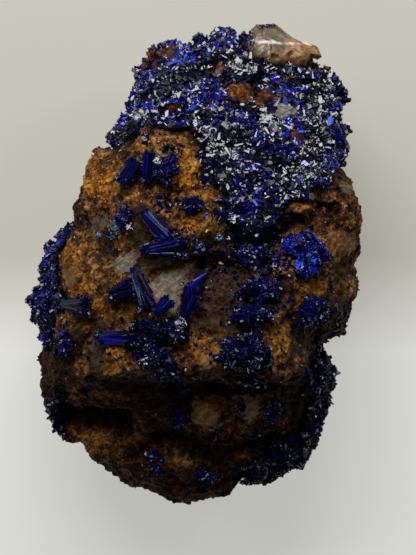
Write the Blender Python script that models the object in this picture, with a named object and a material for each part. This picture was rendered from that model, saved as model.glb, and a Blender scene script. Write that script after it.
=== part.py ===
"""Azurite specimen: a fist of rusty quartz rock with a glittering azurite crust and azurite crystal groups.

The specimen lies on its flat broken back: +Z is up out of its display face, +Y is the top of the display
face and +X its right side. The origin is on the resting face, under the middle of the finished specimen.
Lengths in this script are millimetres, and MM turns them into Blender's metres when a mesh is stored.
"""

import math
import random

import bmesh
import bpy
from mathutils import Matrix, Vector, noise
from mathutils.bvhtree import BVHTree

MM = 0.001

# ---------------------------------------------------------------- the rock's own form
# Outline of the display face, anticlockwise from the point on the right edge.
OUTLINE = [
    (16.9, 5.9), (16.3, 7.1), (15.7, 8.9), (15.3, 9.9), (14.9, 11.1), (15.3, 12.4), (14.7, 15.2),
    (14.3, 17.9), (13.6, 20.0), (12.9, 21.7), (11.9, 22.8), (10.2, 23.2), (8.9, 24.2), (6.5, 24.3),
    (4.8, 24.0), (2.8, 23.3), (1.6, 22.3), (0.0, 21.7), (-1.9, 21.8), (-4.5, 21.0), (-5.6, 20.1),
    (-6.3, 18.9), (-6.2, 16.9), (-7.0, 14.8), (-7.9, 13.4), (-8.2, 11.8), (-9.9, 10.8), (-10.8, 8.9),
    (-11.3, 6.3), (-12.2, 4.0), (-14.5, 1.7), (-15.5, -0.3), (-15.8, -2.3), (-16.9, -4.7),
    (-16.6, -6.4), (-15.6, -8.2), (-15.2, -10.9), (-15.4, -12.6), (-15.0, -14.2), (-14.9, -16.6),
    (-13.3, -18.2), (-11.5, -18.7), (-10.3, -20.1), (-7.7, -21.5), (-5.8, -22.4), (-3.3, -23.5),
    (-1.7, -24.3), (0.9, -23.6), (3.0, -23.2), (4.6, -23.4), (7.2, -22.6), (9.4, -21.5), (11.3, -20.9),
    (12.4, -18.6), (12.7, -16.5), (13.9, -13.5), (14.0, -11.4), (13.3, -9.2), (12.6, -7.6),
    (14.6, -7.0), (15.3, -5.3), (16.2, -2.8), (16.0, 0.2), (16.5, 1.2), (16.3, 3.6),
]
CENTRE = (-0.5, -0.8)
EDGE_HEIGHT = 9.0  # how far above the resting face the outline runs
FRONT_BLOCKINESS = 3.4  # 2 is an ellipsoid, and larger is closer to a box
BACK_BLOCKINESS = 2.6
BACK_DEPTH = 11.5  # deeper than EDGE_HEIGHT, so the resting plane cuts a flat face

# Height of the display face along its length: (y, height).
SPINE = [(-24.3, 12.5), (-20.0, 16.5), (-15.5, 19.5), (-11.0, 23.5), (-5.0, 23.0), (2.0, 22.0),
         (9.0, 21.8), (16.0, 19.8), (21.0, 17.2), (24.3, 15.0)]
LEFT_SHOULDER, LEFT_FALL = -7.0, 0.55  # beyond this x the face falls away by this much for each millimetre
RIGHT_SHOULDER, RIGHT_FALL = 9.5, 0.40

# Broken edges of the rock's layers. Below its line the face drops, then climbs back over the run.
LEDGES = {
    "crust_lip": dict(line=[(3.0, 4.4), (6.5, 2.6), (9.0, 4.4), (12.0, 5.6), (15.5, 6.6)], drop=2.6, run=4.5),
    "middle_lip": dict(line=[(-1.0, 0.6), (2.5, 0.9), (6.0, -0.8), (9.0, -1.4)], drop=1.2, run=4.0),
    "lower_lip": dict(
        line=[(-14.5, -11.8), (-9.5, -11.5), (-6.5, -11.0), (-3.0, -11.3), (0.5, -11.0), (3.0, -11.5),
              (6.7, -11.7), (10.5, -11.0), (12.0, -11.4)], drop=3.4, run=14.0),
    "shelf_lip": dict(line=[(-15.5, -13.7), (-11.0, -14.3), (-7.5, -14.3), (-5.2, -15.4)], drop=3.2, run=3.6),
    "foot_lip": dict(line=[(-8.0, -15.4), (-4.0, -17.0), (-1.5, -17.4), (2.5, -18.0), (6.0, -17.2)],
                     drop=1.3, run=5.0),
}
LEDGE_EASE = 0.9  # width of the broken edge itself
LEDGE_FADE = 1.6  # a ledge dies out over this length at each end

# Swells (positive) and hollows (negative) of the face: x, y, half-widths, height.
SWELLS = {
    "top_quartz": (8.0, 21.6, 3.6, 2.0, 1.5),
    "crust_hollow": (5.6, 16.6, 3.2, 1.3, -1.6),
    "crust_brow": (3.5, 12.6, 7.0, 2.2, 0.9),
    "crust_left_gully": (-5.0, 15.2, 2.2, 1.0, -1.0),
    "upper_right_swell": (12.0, 12.5, 3.5, 4.0, 0.8),
    "left_flank": (-9.0, 6.0, 3.5, 4.0, 1.0),
    "left_hollow": (-8.5, 0.9, 3.2, 1.1, -0.8),
    "left_lump": (-10.9, -1.4, 2.0, 2.2, 1.1),
    "left_groove": (-9.9, -9.2, 0.8, 2.2, -0.4),
    "centre_pane": (-3.0, -1.6, 3.2, 2.2, -1.0),
    "right_knob_upper": (15.0, 5.2, 1.8, 1.5, 1.2),
    "right_knob_middle": (14.8, 1.8, 2.0, 1.4, 1.3),
    "right_knob_lower": (15.0, -3.0, 2.2, 2.6, 1.6),
    "right_notch": (13.4, -11.5, 2.0, 5.0, -4.5),
    "right_groove": (10.8, -7.8, 1.4, 2.0, -1.0),
    "quartz_bulge": (3.4, -14.6, 2.8, 2.4, 1.9),
    "quartz_bulge_right": (7.6, -14.6, 1.6, 2.2, 1.4),
    "foot_left": (-9.5, -18.0, 3.2, 1.8, 1.3),
    "foot_middle": (-0.5, -20.8, 3.2, 2.2, 1.2),
}

# Flat breaks on the back and sides: outward direction, and distance from the specimen's middle height.
BREAKS = [((0.30, 0.74, -0.60), 17.4), ((-0.62, 0.34, -0.70), 13.4), ((0.86, 0.10, -0.50), 14.0),
          ((-0.55, -0.52, -0.66), 15.8), ((0.46, -0.66, -0.60), 17.0), ((-0.97, -0.15, -0.20), 15.6),
          ((0.62, -0.62, 0.48), 21.6), ((-0.62, 0.62, 0.48), 17.0), ((-0.35, -0.80, 0.48), 21.4)]
BREAK_ORIGIN = Vector((0.0, 0.0, 8.0))
BREAK_HARDNESS = 0.85  # 1 is a clean plane

LUMP_SIZE, LUMP_HEIGHT = 5.5, 0.75
CHIP_SIZE, CHIP_HEIGHT = 2.1, 0.42

FACE_LEAN = 1.5  # lumps and chips rise more squarely out of the display face than out of a sphere
REST_SNAP = 0.06  # what lies this close to the resting plane is on it
FLAT_ANGLE = 0.01  # faces that turn by less than this many radians are one flat face
SKIN_SUBDIVISIONS = 6
SKIN_TRIANGLES_KEPT = 0.105  # share left by the decimation of the finished skin

# ---------------------------------------------------------------- minerals that coat the rock
GAP = 0.3  # between the rock and what grows on it
CRUST_INSET = 0.45  # a crust's own face lies this far inside the specimen's outline, which its crystals reach
QUARTZ_INSET = -0.1  # the quartz stands proud of it
CRUST_THICKNESS = 0.6
QUARTZ_THICKNESS = 0.8
LOWEST_COAT = 3.5  # coats stop this far above the resting face

UPPER_CRUST = [
    (-9.5, 13.0), (-7.9, 11.2), (-6.5, 13.2), (-4.5, 13.5), (-3.4, 12.5), (-3.0, 11.3), (-0.7, 10.2),
    (0.2, 8.8), (1.0, 6.4), (2.6, 5.6), (2.9, 2.6), (6.4, 1.6), (8.2, 3.4), (10.5, 5.2), (14.0, 6.4),
    (14.5, 8.2), (18.0, 9.2), (18.0, 20.8), (12.8, 20.3), (9.5, 19.9), (6.6, 20.4), (5.2, 22.0),
    (4.9, 26.0), (-9.0, 26.0),
]
LEFT_CRUST = [(-11.9, 4.6), (-13.0, 1.9), (-13.5, 0.2), (-13.6, -1.8), (-14.0, -3.6), (-14.2, -6.0),
              (-14.8, -8.0), (-15.2, -9.6), (-19.0, -9.6), (-19.0, 4.6)]
LOWER_RIGHT_CRUST = [
    (17.0, -7.6), (12.4, -8.0), (11.6, -9.4), (12.0, -12.8), (11.4, -14.6), (10.2, -16.4), (7.6, -16.6),
    (6.2, -18.6), (4.8, -21.6), (4.4, -26.0), (17.0, -26.0),
]
TOP_QUARTZ = [(4.3, 26.0), (4.7, 21.8), (6.2, 19.9), (9.5, 19.0), (13.0, 19.4), (15.5, 20.2), (15.5, 26.0)]

DRUSE_SHARE = 0.30  # share of the crust's faces that carry a crystal
DRUSE_HEIGHT = (0.35, 0.75)  # of the square root of its foot's area
DRUSE_TIP = 0.45  # width of a crystal's tip as a share of its foot

# ---------------------------------------------------------------- crystal groups that stand on the rock
# A spray is a stack of tabular blades: (x, y, heading in degrees, length, width, count, fan in degrees).
# A tuft is a rounded rosette of blades: (x, y, half-width, half-height, count).
GROUPS = {
    "azurite_crystal_upper_left": dict(sprays=[(-6.4, 9.0, 60, 2.1, 1.5, 1, 0)]),
    "azurite_cluster_upper": dict(sprays=[(-4.6, 9.4, 84, 3.0, 0.9, 2, 8)], tufts=[(-2.9, 9.0, 1.4, 1.7, 5)]),
    "azurite_spray_centre": dict(
        sprays=[(-3.7, 3.5, -48, 4.0, 1.3, 4, 18), (-3.0, 1.3, 8, 4.2, 1.3, 3, 16)],
        tufts=[(-3.2, 6.0, 1.7, 1.15, 5)]),
    "azurite_cluster_middle": dict(tufts=[(-0.1, 5.6, 1.15, 0.85, 4)]),
    "azurite_tuft_left": dict(tufts=[(-6.9, 4.1, 0.8, 1.2, 4)]),
    "azurite_tuft_middle": dict(tufts=[(0.5, 1.5, 0.95, 0.65, 3)]),
    "azurite_spray_left": dict(
        sprays=[(-5.2, -2.7, -70, 4.4, 1.3, 3, 14), (-7.0, -2.9, 20, 2.2, 1.4, 2, 30)]),
    "azurite_blade_lower": dict(sprays=[(-3.0, -4.3, 45, 1.8, 1.0, 2, 12)]),
    "azurite_spray_right": dict(sprays=[(-0.6, -3.9, 76, 3.1, 1.1, 2, 8), (0.4, -1.8, 34, 2.5, 1.0, 2, 12)]),
    "azurite_cluster_lower": dict(
        sprays=[(-7.6, -7.5, 2, 3.6, 1.3, 2, 8)],
        tufts=[(-4.7, -7.0, 2.1, 1.7, 6), (-1.8, -6.6, 1.5, 1.6, 4), (-4.3, -9.3, 1.9, 1.2, 5),
               (-2.6, -10.5, 1.5, 1.1, 5)]),
    "azurite_column": dict(tufts=[(-1.7, -13.4, 1.1, 1.1, 3), (-1.4, -15.1, 1.0, 1.6, 4)]),
    "azurite_finger_left": dict(sprays=[(-12.0, -4.2, -4, 2.8, 1.5, 2, 6)]),
    "azurite_tuft_low_left": dict(tufts=[(-12.7, -7.9, 0.95, 1.4, 4)]),
    "azurite_rosette_right": dict(tufts=[(10.8, 0.8, 2.8, 2.5, 11)]),
    "azurite_tuft_shelf": dict(tufts=[(5.3, 0.5, 2.3, 1.1, 7)]),
    "azurite_rosette_small": dict(tufts=[(6.6, -2.7, 2.2, 1.4, 8)]),
    "azurite_rosette_edge": dict(tufts=[(11.6, -4.8, 2.1, 1.5, 6)]),
    "azurite_tuft_centre": dict(tufts=[(5.6, -5.2, 2.2, 1.1, 7)]),
    "azurite_rosette_lower": dict(tufts=[(4.9, -8.9, 3.1, 2.3, 11)]),
    "azurite_vein_lower": dict(tufts=[(7.7, -14.3, 0.85, 1.7, 4)]),
    "azurite_grain_foot": dict(tufts=[(1.2, -21.3, 0.9, 0.9, 3)]),
    "azurite_grain_foot_left": dict(tufts=[(-3.9, -19.8, 0.9, 1.2, 3)]),
}
BLADE_FLATNESS = 0.42  # thickness of a blade as a share of its width
SPRAY_FLATNESS = 0.5
# Width of a spray's blade: its share of the spray's width, widened, and a least width added.
BLADE_OVERLAP, BLADE_LEAST_WIDTH = 1.9, 0.5
SPRAY_FOOT = 0.1  # how far the middle of a spray's blade lies over the rock at its foot
SPRAY_RISE = (0.5, 1.0)  # and how far at its tip
SPRAY_WANDER, SPRAY_ROLL = 3.0, 15.0  # degrees
SPRAY_SIDES, TUFT_SIDES = 6, 4
BLADE_CHISEL = 0.45  # width of a blade's end as a share of its width
TUFT_DOME = 0.95  # height of a tuft over the rock as a share of its half-width
TUFT_LEANS = (12.0, 78.0)  # degrees from upright, of a tuft's first blade and its last
TUFT_BLADE_WIDTH = 2.3  # width of all a tuft's blades, side by side in a square, as a share of its half-width
HEART_SHARE = 0.88  # size of the solid heart of a tuft as a share of the tuft
GOLDEN_ANGLE = math.pi * (3.0 - math.sqrt(5.0))
ABOVE_ALL = 60.0  # a height clear of the specimen
ROOT_DEPTH = 0.9  # how far a group reaches down past the rock's face before its root is cut


def smooth_step(value):
    value = min(1.0, max(0.0, value))
    return value * value * (3.0 - 2.0 * value)


def along(points, x):
    """Reads a line of (x, y) points, ordered by x, at x."""
    for (x0, y0), (x1, y1) in zip(points, points[1:]):
        if x <= x1:
            return y0 + (y1 - y0) * max(0.0, (x - x0) / (x1 - x0))
    return points[-1][1]


def outline_radius(heading):
    """Distance from CENTRE to the outline in a direction, read between the outline's points."""
    spokes = [(x - CENTRE[0], y - CENTRE[1]) for x, y in OUTLINE]
    polar = sorted((math.atan2(y, x), math.hypot(x, y)) for x, y in spokes)
    first, last = polar[0], polar[-1]
    ring = [(last[0] - 2 * math.pi, last[1])] + polar + [(first[0] + 2 * math.pi, first[1])]
    return along(ring, heading)


def ledge_drop(x, y, line, drop, run):
    below = along(line, x) - y
    ends = smooth_step((x - line[0][0]) / LEDGE_FADE) * smooth_step((line[-1][0] - x) / LEDGE_FADE)
    return drop * ends * smooth_step(below / LEDGE_EASE) * (1.0 - smooth_step((below - LEDGE_EASE) / run))


def front_height(x, y):
    """Height of the display face over the resting face, before its chips and lumps."""
    height = along(SPINE, y)
    height -= LEFT_FALL * max(0.0, LEFT_SHOULDER - x) + RIGHT_FALL * max(0.0, x - RIGHT_SHOULDER)
    for ledge in LEDGES.values():
        height -= ledge_drop(x, y, **ledge)
    for cx, cy, half_x, half_y, rise in SWELLS.values():
        height += rise * math.exp(-(((x - cx) / half_x) ** 2) - ((y - cy) / half_y) ** 2)
    return height


def rock_point(direction):
    """Where the rock's surface lies in this direction of the sphere that it starts from."""
    reach = math.hypot(direction.x, direction.y)
    heading = math.atan2(direction.y, direction.x)
    radius = outline_radius(heading) * reach
    x, y = CENTRE[0] + radius * math.cos(heading), CENTRE[1] + radius * math.sin(heading)
    if direction.z >= 0.0:
        rise = max(0.0, 1.0 - reach**FRONT_BLOCKINESS) ** (1.0 / FRONT_BLOCKINESS)
        return Vector((x, y, EDGE_HEIGHT + (front_height(x, y) - EDGE_HEIGHT) * rise))
    rise = max(0.0, 1.0 - reach**BACK_BLOCKINESS) ** (1.0 / BACK_BLOCKINESS)
    return Vector((x, y, EDGE_HEIGHT - BACK_DEPTH * rise))


def roughness(point):
    """Height of the rock's lumps and chips at a point, in millimetres, about zero."""
    lumps = noise.fractal(point / LUMP_SIZE, 1.0, 2.0, 2)
    chips = noise.voronoi(point / CHIP_SIZE)[0]
    return LUMP_HEIGHT * lumps + CHIP_HEIGHT * (0.9 - 1.6 * chips[0])


def break_flat(point):
    for direction, distance in BREAKS:
        normal = Vector(direction).normalized()
        beyond = (point - BREAK_ORIGIN).dot(normal) - distance
        if beyond > 0.0:
            point = point - normal * beyond * BREAK_HARDNESS
    return point


def store(name, shape, material, collection):
    """Puts a bmesh in millimetres into the scene as an object in metres."""
    bmesh.ops.recalc_face_normals(shape, faces=shape.faces)
    bmesh.ops.scale(shape, vec=(MM, MM, MM), verts=shape.verts)
    mesh = bpy.data.meshes.new(name)
    shape.to_mesh(mesh)
    shape.free()
    if material is not None:
        mesh.materials.append(material)
    made = bpy.data.objects.new(name, mesh)
    collection.objects.link(made)
    return made


def evaluated(obj):
    """A bmesh in millimetres of an object with its modifiers applied, the object itself being removed."""
    shape = bmesh.new()
    shape.from_object(obj, bpy.context.evaluated_depsgraph_get())
    bmesh.ops.scale(shape, vec=(1 / MM, 1 / MM, 1 / MM), verts=shape.verts)
    bpy.data.objects.remove(obj)
    return shape


def rock_skin(helpers):
    """The specimen's whole outer surface, coats included, as a bmesh."""
    skin = bmesh.new()
    bmesh.ops.create_icosphere(skin, subdivisions=SKIN_SUBDIVISIONS, radius=1.0)
    for vert in skin.verts:
        direction = vert.co.normalized()
        point = rock_point(direction)
        outward = Vector((direction.x, direction.y, direction.z * FACE_LEAN)).normalized()
        point = break_flat(point + outward * roughness(point))
        point.z = max(0.0, point.z)
        vert.co = point
    draft = store("skin_draft", skin, None, helpers)
    thin = draft.modifiers.new("keep_edges", "DECIMATE")
    thin.ratio = SKIN_TRIANGLES_KEPT
    skin = evaluated(draft)
    bmesh.ops.triangulate(skin, faces=skin.faces)
    return skin


def inside(polygon, x, y):
    crossings = 0
    for (x0, y0), (x1, y1) in zip(polygon, polygon[1:] + polygon[:1]):
        if (y0 > y) != (y1 > y) and x < x0 + (y - y0) * (x1 - x0) / (y1 - y0):
            crossings += 1
    return crossings % 2 == 1


def zone_verts(skin, zone):
    """Indices of the skin's vertices that a zone of the display face holds, clear of the resting face."""
    return {v.index for v in skin.verts if v.co.z > LOWEST_COAT and inside(zone, v.co.x, v.co.y)}


def smooth_normals(shape, rounds=3):
    """Vertex normals averaged with their neighbours', so that sinking along them folds nothing over."""
    shape.normal_update()
    normals = {vert.index: vert.normal.copy() for vert in shape.verts}
    for _ in range(rounds):
        mixed = {}
        for vert in shape.verts:
            total = normals[vert.index] * 2.0
            for edge in vert.link_edges:
                total += normals[edge.other_vert(vert).index]
            mixed[vert.index] = total.normalized()
        normals = mixed
    return normals


def keep_largest(shape):
    """Deletes all but the largest piece of a mesh that is joined face to face."""
    left = set(shape.faces)
    pieces = []
    while left:
        piece, reach = set(), [left.pop()]
        while reach:
            face = reach.pop()
            piece.add(face)
            beside = {other for edge in face.edges for other in edge.link_faces} & left
            left -= beside
            reach.extend(beside)
        pieces.append(piece)
    largest = max(pieces, key=lambda piece: sum(face.calc_area() for face in piece))
    spare = [face for face in shape.faces if face not in largest]
    bmesh.ops.delete(shape, geom=spare, context="FACES")


def trim_pinches(shape):
    """Deletes the faces round each vertex where an open sheet only touches itself."""
    while True:
        pinched = [vert for vert in shape.verts if sum(edge.is_boundary for edge in vert.link_edges) > 2]
        if not pinched:
            return
        spare = {face for vert in pinched for face in vert.link_faces}
        bmesh.ops.delete(shape, geom=list(spare), context="FACES")


def grow_druse(shape, faces, seed):
    """Small blocky crystals: some of the crust's faces drawn outwards, each narrowing to a flat tip."""
    dice = random.Random(seed)
    feet = [face for face in faces if dice.random() < DRUSE_SHARE]
    grown = bmesh.ops.extrude_discrete_faces(shape, faces=feet)
    for tip in grown["faces"]:
        tip.normal_update()
        centre = tip.calc_center_median()
        reach = math.sqrt(tip.calc_area()) * dice.uniform(*DRUSE_HEIGHT)
        for vert in tip.verts:
            vert.co = centre + (vert.co - centre) * DRUSE_TIP + tip.normal * reach


def make_coat(name, skin, normals, covered, inset, thickness, material, collection, druse_seed):
    """A mineral coat: the covered part of the skin, closed by a copy of it sunk by the thickness."""
    shape = skin.copy()
    sink = shape.verts.layers.float_vector.new("sink")
    for vert in shape.verts:
        vert[sink] = normals[vert.index] * thickness
        vert.co -= normals[vert.index] * inset
    spare = [face for face in shape.faces if not all(vert.index in covered for vert in face.verts)]
    bmesh.ops.delete(shape, geom=spare, context="FACES")
    trim_pinches(shape)
    keep_largest(shape)
    trim_pinches(shape)
    for vert in shape.verts:
        vert.co -= vert[sink]
    outer = bmesh.ops.extrude_face_region(shape, geom=list(shape.faces), use_keep_orig=True)["geom"]
    for vert in outer:
        if isinstance(vert, bmesh.types.BMVert):
            vert.co += vert[sink]
    bmesh.ops.recalc_face_normals(shape, faces=shape.faces)
    if druse_seed is not None:
        grow_druse(shape, [face for face in outer if isinstance(face, bmesh.types.BMFace)], druse_seed)
    return store(name, shape, material, collection)


def make_matrix(skin, normals, coats, material, collection):
    """The host rock: the skin, sunk where a coat lies on it so that the coat keeps its gap."""
    rock = skin.copy()
    rock.verts.ensure_lookup_table()
    for covered, depth in coats:
        for index in covered:
            rock.verts[index].co -= normals[index] * (depth + GAP)
    for vert in rock.verts:
        if vert.co.z < REST_SNAP:
            vert.co.z = 0.0
    bmesh.ops.dissolve_limit(rock, angle_limit=FLAT_ANGLE, verts=rock.verts, edges=rock.edges)
    bmesh.ops.triangulate(rock, faces=rock.faces)
    return store("matrix", rock, material, collection)


def grown_rock(matrix, helpers):
    """The rock grown by the gap: what is cut from each crystal group, so that it clears the rock."""
    shape = bmesh.new()
    shape.from_mesh(matrix.data)
    bmesh.ops.scale(shape, vec=(1 / MM, 1 / MM, 1 / MM), verts=shape.verts)
    shape.verts.ensure_lookup_table()
    normals = smooth_normals(shape, rounds=1)
    for vert in shape.verts:
        vert.co += normals[vert.index] * GAP
    cutter = store("rock_cutter", shape, None, helpers)
    cutter.hide_render = True
    cutter.display_type = "WIRE"
    return cutter


# ---------------------------------------------------------------- crystal groups
def add_blade(shape, foot, tip, width, flatness, roll, sides):
    """One tabular crystal from foot to tip: a flattened prism that ends in a chisel edge."""
    axis = tip - foot
    length = axis.length
    turn = axis.to_track_quat("Z", "Y").to_matrix().to_4x4() @ Matrix.Rotation(roll, 4, "Z")
    place = Matrix.Translation(foot + axis / 2) @ turn
    made = bmesh.ops.create_cone(
        shape, cap_ends=True, segments=sides, radius1=width / 2, radius2=width / 2, depth=length)
    for vert in made["verts"]:
        top = vert.co.z > 0
        vert.co.y *= flatness * (0.9 if top else 1.0)
        vert.co.x *= BLADE_CHISEL if top else 1.0
    bmesh.ops.transform(shape, matrix=place, verts=made["verts"])


def add_spray(shape, rock, dice, x, y, heading, length, width, count, fan):
    """Tabular blades side by side, on edge, fanned about their heading."""
    for index in range(count):
        across = index - (count - 1) / 2
        turn = heading + fan * across / max(1, count - 1) + dice.uniform(-SPRAY_WANDER, SPRAY_WANDER)
        angle = math.radians(turn)
        along_it = Vector((math.cos(angle), math.sin(angle), 0.0))
        side = Vector((-math.sin(angle), math.cos(angle), 0.0)) * across * width / count
        middle = Vector((x, y, 0.0)) + side
        reach = along_it * length * dice.uniform(0.42, 0.52)
        foot, tip = middle - reach, middle + reach
        foot.z = surface_height(rock, foot) + SPRAY_FOOT
        tip.z = max(foot.z, surface_height(rock, tip)) + dice.uniform(*SPRAY_RISE)
        blade = BLADE_OVERLAP * width / count + BLADE_LEAST_WIDTH
        roll = math.radians(90 + dice.uniform(-SPRAY_ROLL, SPRAY_ROLL))
        add_blade(shape, foot, tip, blade, SPRAY_FLATNESS, roll, SPRAY_SIDES)


def add_tuft(shape, rock, dice, x, y, half_x, half_y, count):
    """A rosette: blades that spread from one root to a domed outline."""
    root = Vector((x, y, 0.0))
    root.z = surface_height(rock, root)
    size = math.sqrt(half_x * half_y)
    turn = dice.uniform(0, math.tau)
    for index in range(count):
        outwards = math.sqrt((index + 0.5) / count)
        lean = math.radians(TUFT_LEANS[0] + (TUFT_LEANS[1] - TUFT_LEANS[0]) * outwards)
        angle = turn + index * GOLDEN_ANGLE
        spread = Vector((math.cos(angle) * half_x, math.sin(angle) * half_y, 0.0)) * math.sin(lean)
        tip = root + spread * dice.uniform(0.85, 1.0)
        tip.z += TUFT_DOME * size * math.cos(lean) + 0.25
        foot = root + spread * 0.15
        foot.z = min(root.z, surface_height(rock, foot)) - ROOT_DEPTH
        width = size * TUFT_BLADE_WIDTH / math.sqrt(count) + BLADE_LEAST_WIDTH
        add_blade(shape, foot, tip, width, BLADE_FLATNESS, angle + dice.uniform(0.6, 2.2), TUFT_SIDES)
    heart = bmesh.ops.create_icosphere(shape, subdivisions=1, radius=1.0)
    bmesh.ops.scale(shape, vec=Vector((half_x, half_y, size)) * HEART_SHARE, verts=heart["verts"])
    bmesh.ops.translate(shape, vec=root, verts=heart["verts"])


def surface_height(rock, point):
    """Height of the rock's display face over the resting face at a point's x and y."""
    hit = rock.ray_cast(Vector((point.x, point.y, ABOVE_ALL)), Vector((0.0, 0.0, -1.0)))
    return hit[0].z if hit[0] else EDGE_HEIGHT


def make_group(name, plan, rock, cutter, material, helpers, collection, seed):
    """A crystal group: its blades joined in one solid, cut to sit on the rock."""
    dice = random.Random(seed)
    shape = bmesh.new()
    for spray in plan.get("sprays", []):
        add_spray(shape, rock, dice, *spray)
    for tuft in plan.get("tufts", []):
        add_tuft(shape, rock, dice, *tuft)
    draft = store(name + "_draft", shape, None, helpers)
    cut = draft.modifiers.new("sit_on_rock", "BOOLEAN")
    cut.object = cutter
    cut.operation = "DIFFERENCE"
    cut.use_self = True
    bpy.context.view_layer.update()
    group = evaluated(draft)
    bmesh.ops.dissolve_limit(group, angle_limit=FLAT_ANGLE, verts=group.verts, edges=group.edges)
    bmesh.ops.triangulate(group, faces=group.faces)
    keep_largest(group)
    return store(name, group, material, collection)


# ---------------------------------------------------------------- materials and the scene
def make_material(name, colour, roughness):
    material = bpy.data.materials.new(name)
    material.use_nodes = True
    shader = material.node_tree.nodes["Principled BSDF"]
    shader.inputs["Base Color"].default_value = (*colour, 1.0)
    shader.inputs["Roughness"].default_value = roughness
    shader.inputs["Metallic"].default_value = 0.0
    return material


def centre_on_origin(specimen):
    """Moves the whole specimen sideways, so that the origin is under the middle of it."""
    points = [vert.co for obj in specimen.objects for vert in obj.data.vertices]
    middle_x = (min(point.x for point in points) + max(point.x for point in points)) / 2
    middle_y = (min(point.y for point in points) + max(point.y for point in points)) / 2
    for obj in specimen.objects:
        obj.location = (-middle_x, -middle_y, 0.0)


def main():
    for obj in list(bpy.data.objects):
        bpy.data.objects.remove(obj)
    specimen = bpy.data.collections.new("azurite_specimen")
    helpers = bpy.data.collections.new("helpers")
    bpy.context.scene.collection.children.link(specimen)
    bpy.context.scene.collection.children.link(helpers)
    helpers.hide_render = True

    rock_brown = make_material("rock_brown", (0.16, 0.09, 0.045), 0.85)
    quartz_grey = make_material("quartz_grey", (0.30, 0.27, 0.24), 0.25)
    azurite_blue = make_material("azurite_blue", (0.012, 0.02, 0.22), 0.18)

    skin = rock_skin(helpers)
    normals = smooth_normals(skin)
    coats = {
        "azurite_crust_upper": (UPPER_CRUST, CRUST_INSET, CRUST_THICKNESS, azurite_blue, 1),
        "azurite_crust_left": (LEFT_CRUST, CRUST_INSET, CRUST_THICKNESS, azurite_blue, 2),
        "azurite_crust_lower_right": (LOWER_RIGHT_CRUST, CRUST_INSET, CRUST_THICKNESS, azurite_blue, 3),
        "quartz_top": (TOP_QUARTZ, QUARTZ_INSET, QUARTZ_THICKNESS, quartz_grey, None),
    }
    sunk = []
    taken = set()
    for name, (zone, inset, thickness, material, druse_seed) in coats.items():
        covered = zone_verts(skin, zone) - taken
        taken |= covered
        make_coat(name, skin, normals, covered, inset, thickness, material, specimen, druse_seed)
        sunk.append((covered, inset + thickness))
    matrix = make_matrix(skin, normals, sunk, rock_brown, specimen)

    cutter = grown_rock(matrix, helpers)
    rock = bmesh.new()
    rock.from_mesh(matrix.data)
    bmesh.ops.scale(rock, vec=(1 / MM, 1 / MM, 1 / MM), verts=rock.verts)
    tree = BVHTree.FromBMesh(rock)
    for seed, (name, plan) in enumerate(GROUPS.items(), start=10):
        make_group(name, plan, tree, cutter, azurite_blue, helpers, specimen, seed)
    centre_on_origin(specimen)


main()
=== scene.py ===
import math

import bmesh
import bpy
import numpy as np
from mathutils import Matrix, Vector, noise
from mathutils.bvhtree import BVHTree


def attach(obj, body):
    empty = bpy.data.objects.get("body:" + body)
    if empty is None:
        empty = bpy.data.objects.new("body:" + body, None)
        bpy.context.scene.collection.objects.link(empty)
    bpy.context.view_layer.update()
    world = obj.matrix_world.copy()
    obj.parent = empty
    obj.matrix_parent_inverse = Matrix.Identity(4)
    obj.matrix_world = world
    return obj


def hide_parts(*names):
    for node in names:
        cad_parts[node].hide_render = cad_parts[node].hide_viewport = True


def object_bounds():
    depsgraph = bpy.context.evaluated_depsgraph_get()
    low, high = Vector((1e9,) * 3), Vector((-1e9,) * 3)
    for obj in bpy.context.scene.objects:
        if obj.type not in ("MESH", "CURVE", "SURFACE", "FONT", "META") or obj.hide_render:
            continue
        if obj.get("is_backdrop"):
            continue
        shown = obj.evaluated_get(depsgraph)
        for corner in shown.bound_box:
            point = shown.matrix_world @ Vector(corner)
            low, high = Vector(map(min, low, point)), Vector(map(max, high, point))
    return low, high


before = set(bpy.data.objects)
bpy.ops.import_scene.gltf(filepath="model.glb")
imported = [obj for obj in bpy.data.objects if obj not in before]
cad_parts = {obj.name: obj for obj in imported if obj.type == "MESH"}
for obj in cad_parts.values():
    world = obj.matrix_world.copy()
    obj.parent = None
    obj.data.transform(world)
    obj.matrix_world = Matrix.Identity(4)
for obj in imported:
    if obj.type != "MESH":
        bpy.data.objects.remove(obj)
cad_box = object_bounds()

# ------------------------ the view, the floor and the lights
# The specimen lies on its back on a pale matt floor that also glows with painted light, a little brighter
# towards the foot, and the camera looks straight down on its display face. A large soft box beyond its top
# lights it, a wide dim one hangs overhead, and small ones pick out single faces.
MM = 0.001
PLACE = np.array((0.091, 0.186, 0.0))  # where the display face's own grid of millimetres starts in the frame
VIEW_CENTRE = (1.34, -1.53)
VIEW_HEIGHT = 55.5
VIEW_LEVEL = 13.0  # the height over the floor at which the view is VIEW_HEIGHT tall
CAMERA_DISTANCE = 520.0
SOFT_BOXES = [
    # name, where it stands in mm, its two sides in mm, watts
    ("key_box", (-50.0, 230.0, 220.0), (250.0, 180.0), 1.6),
    ("ceiling_box", (40.0, 200.0, 620.0), (560.0, 420.0), 0.14),
    ("left_box", (-330.0, 120.0, 260.0), (90.0, 160.0), 0.24),
    ("right_box", (300.0, 190.0, 240.0), (60.0, 120.0), 0.35),
    ("far_box", (120.0, 420.0, 170.0), (120.0, 60.0), 0.45),
]
FLOOR_SIZE = 6000.0
FLOOR_FADE = (-9.0, 1.0)  # the floor turns from its near glow to its far one between these y
FLOOR_NEAR, FLOOR_FAR = (1.38, 1.38, 1.31, 1.0), (0.66, 0.63, 0.50, 1.0)
FLOOR_GLOW = 0.34
FLOOR_TINT = (0.24, 0.237, 0.220, 1.0)
ROOM_TINT, ROOM_GLOW = (0.92, 0.96, 1.0, 1.0), 0.04
SENSOR = 36.0
CLIPPED = (0.01, 20.0)  # in metres


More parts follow.
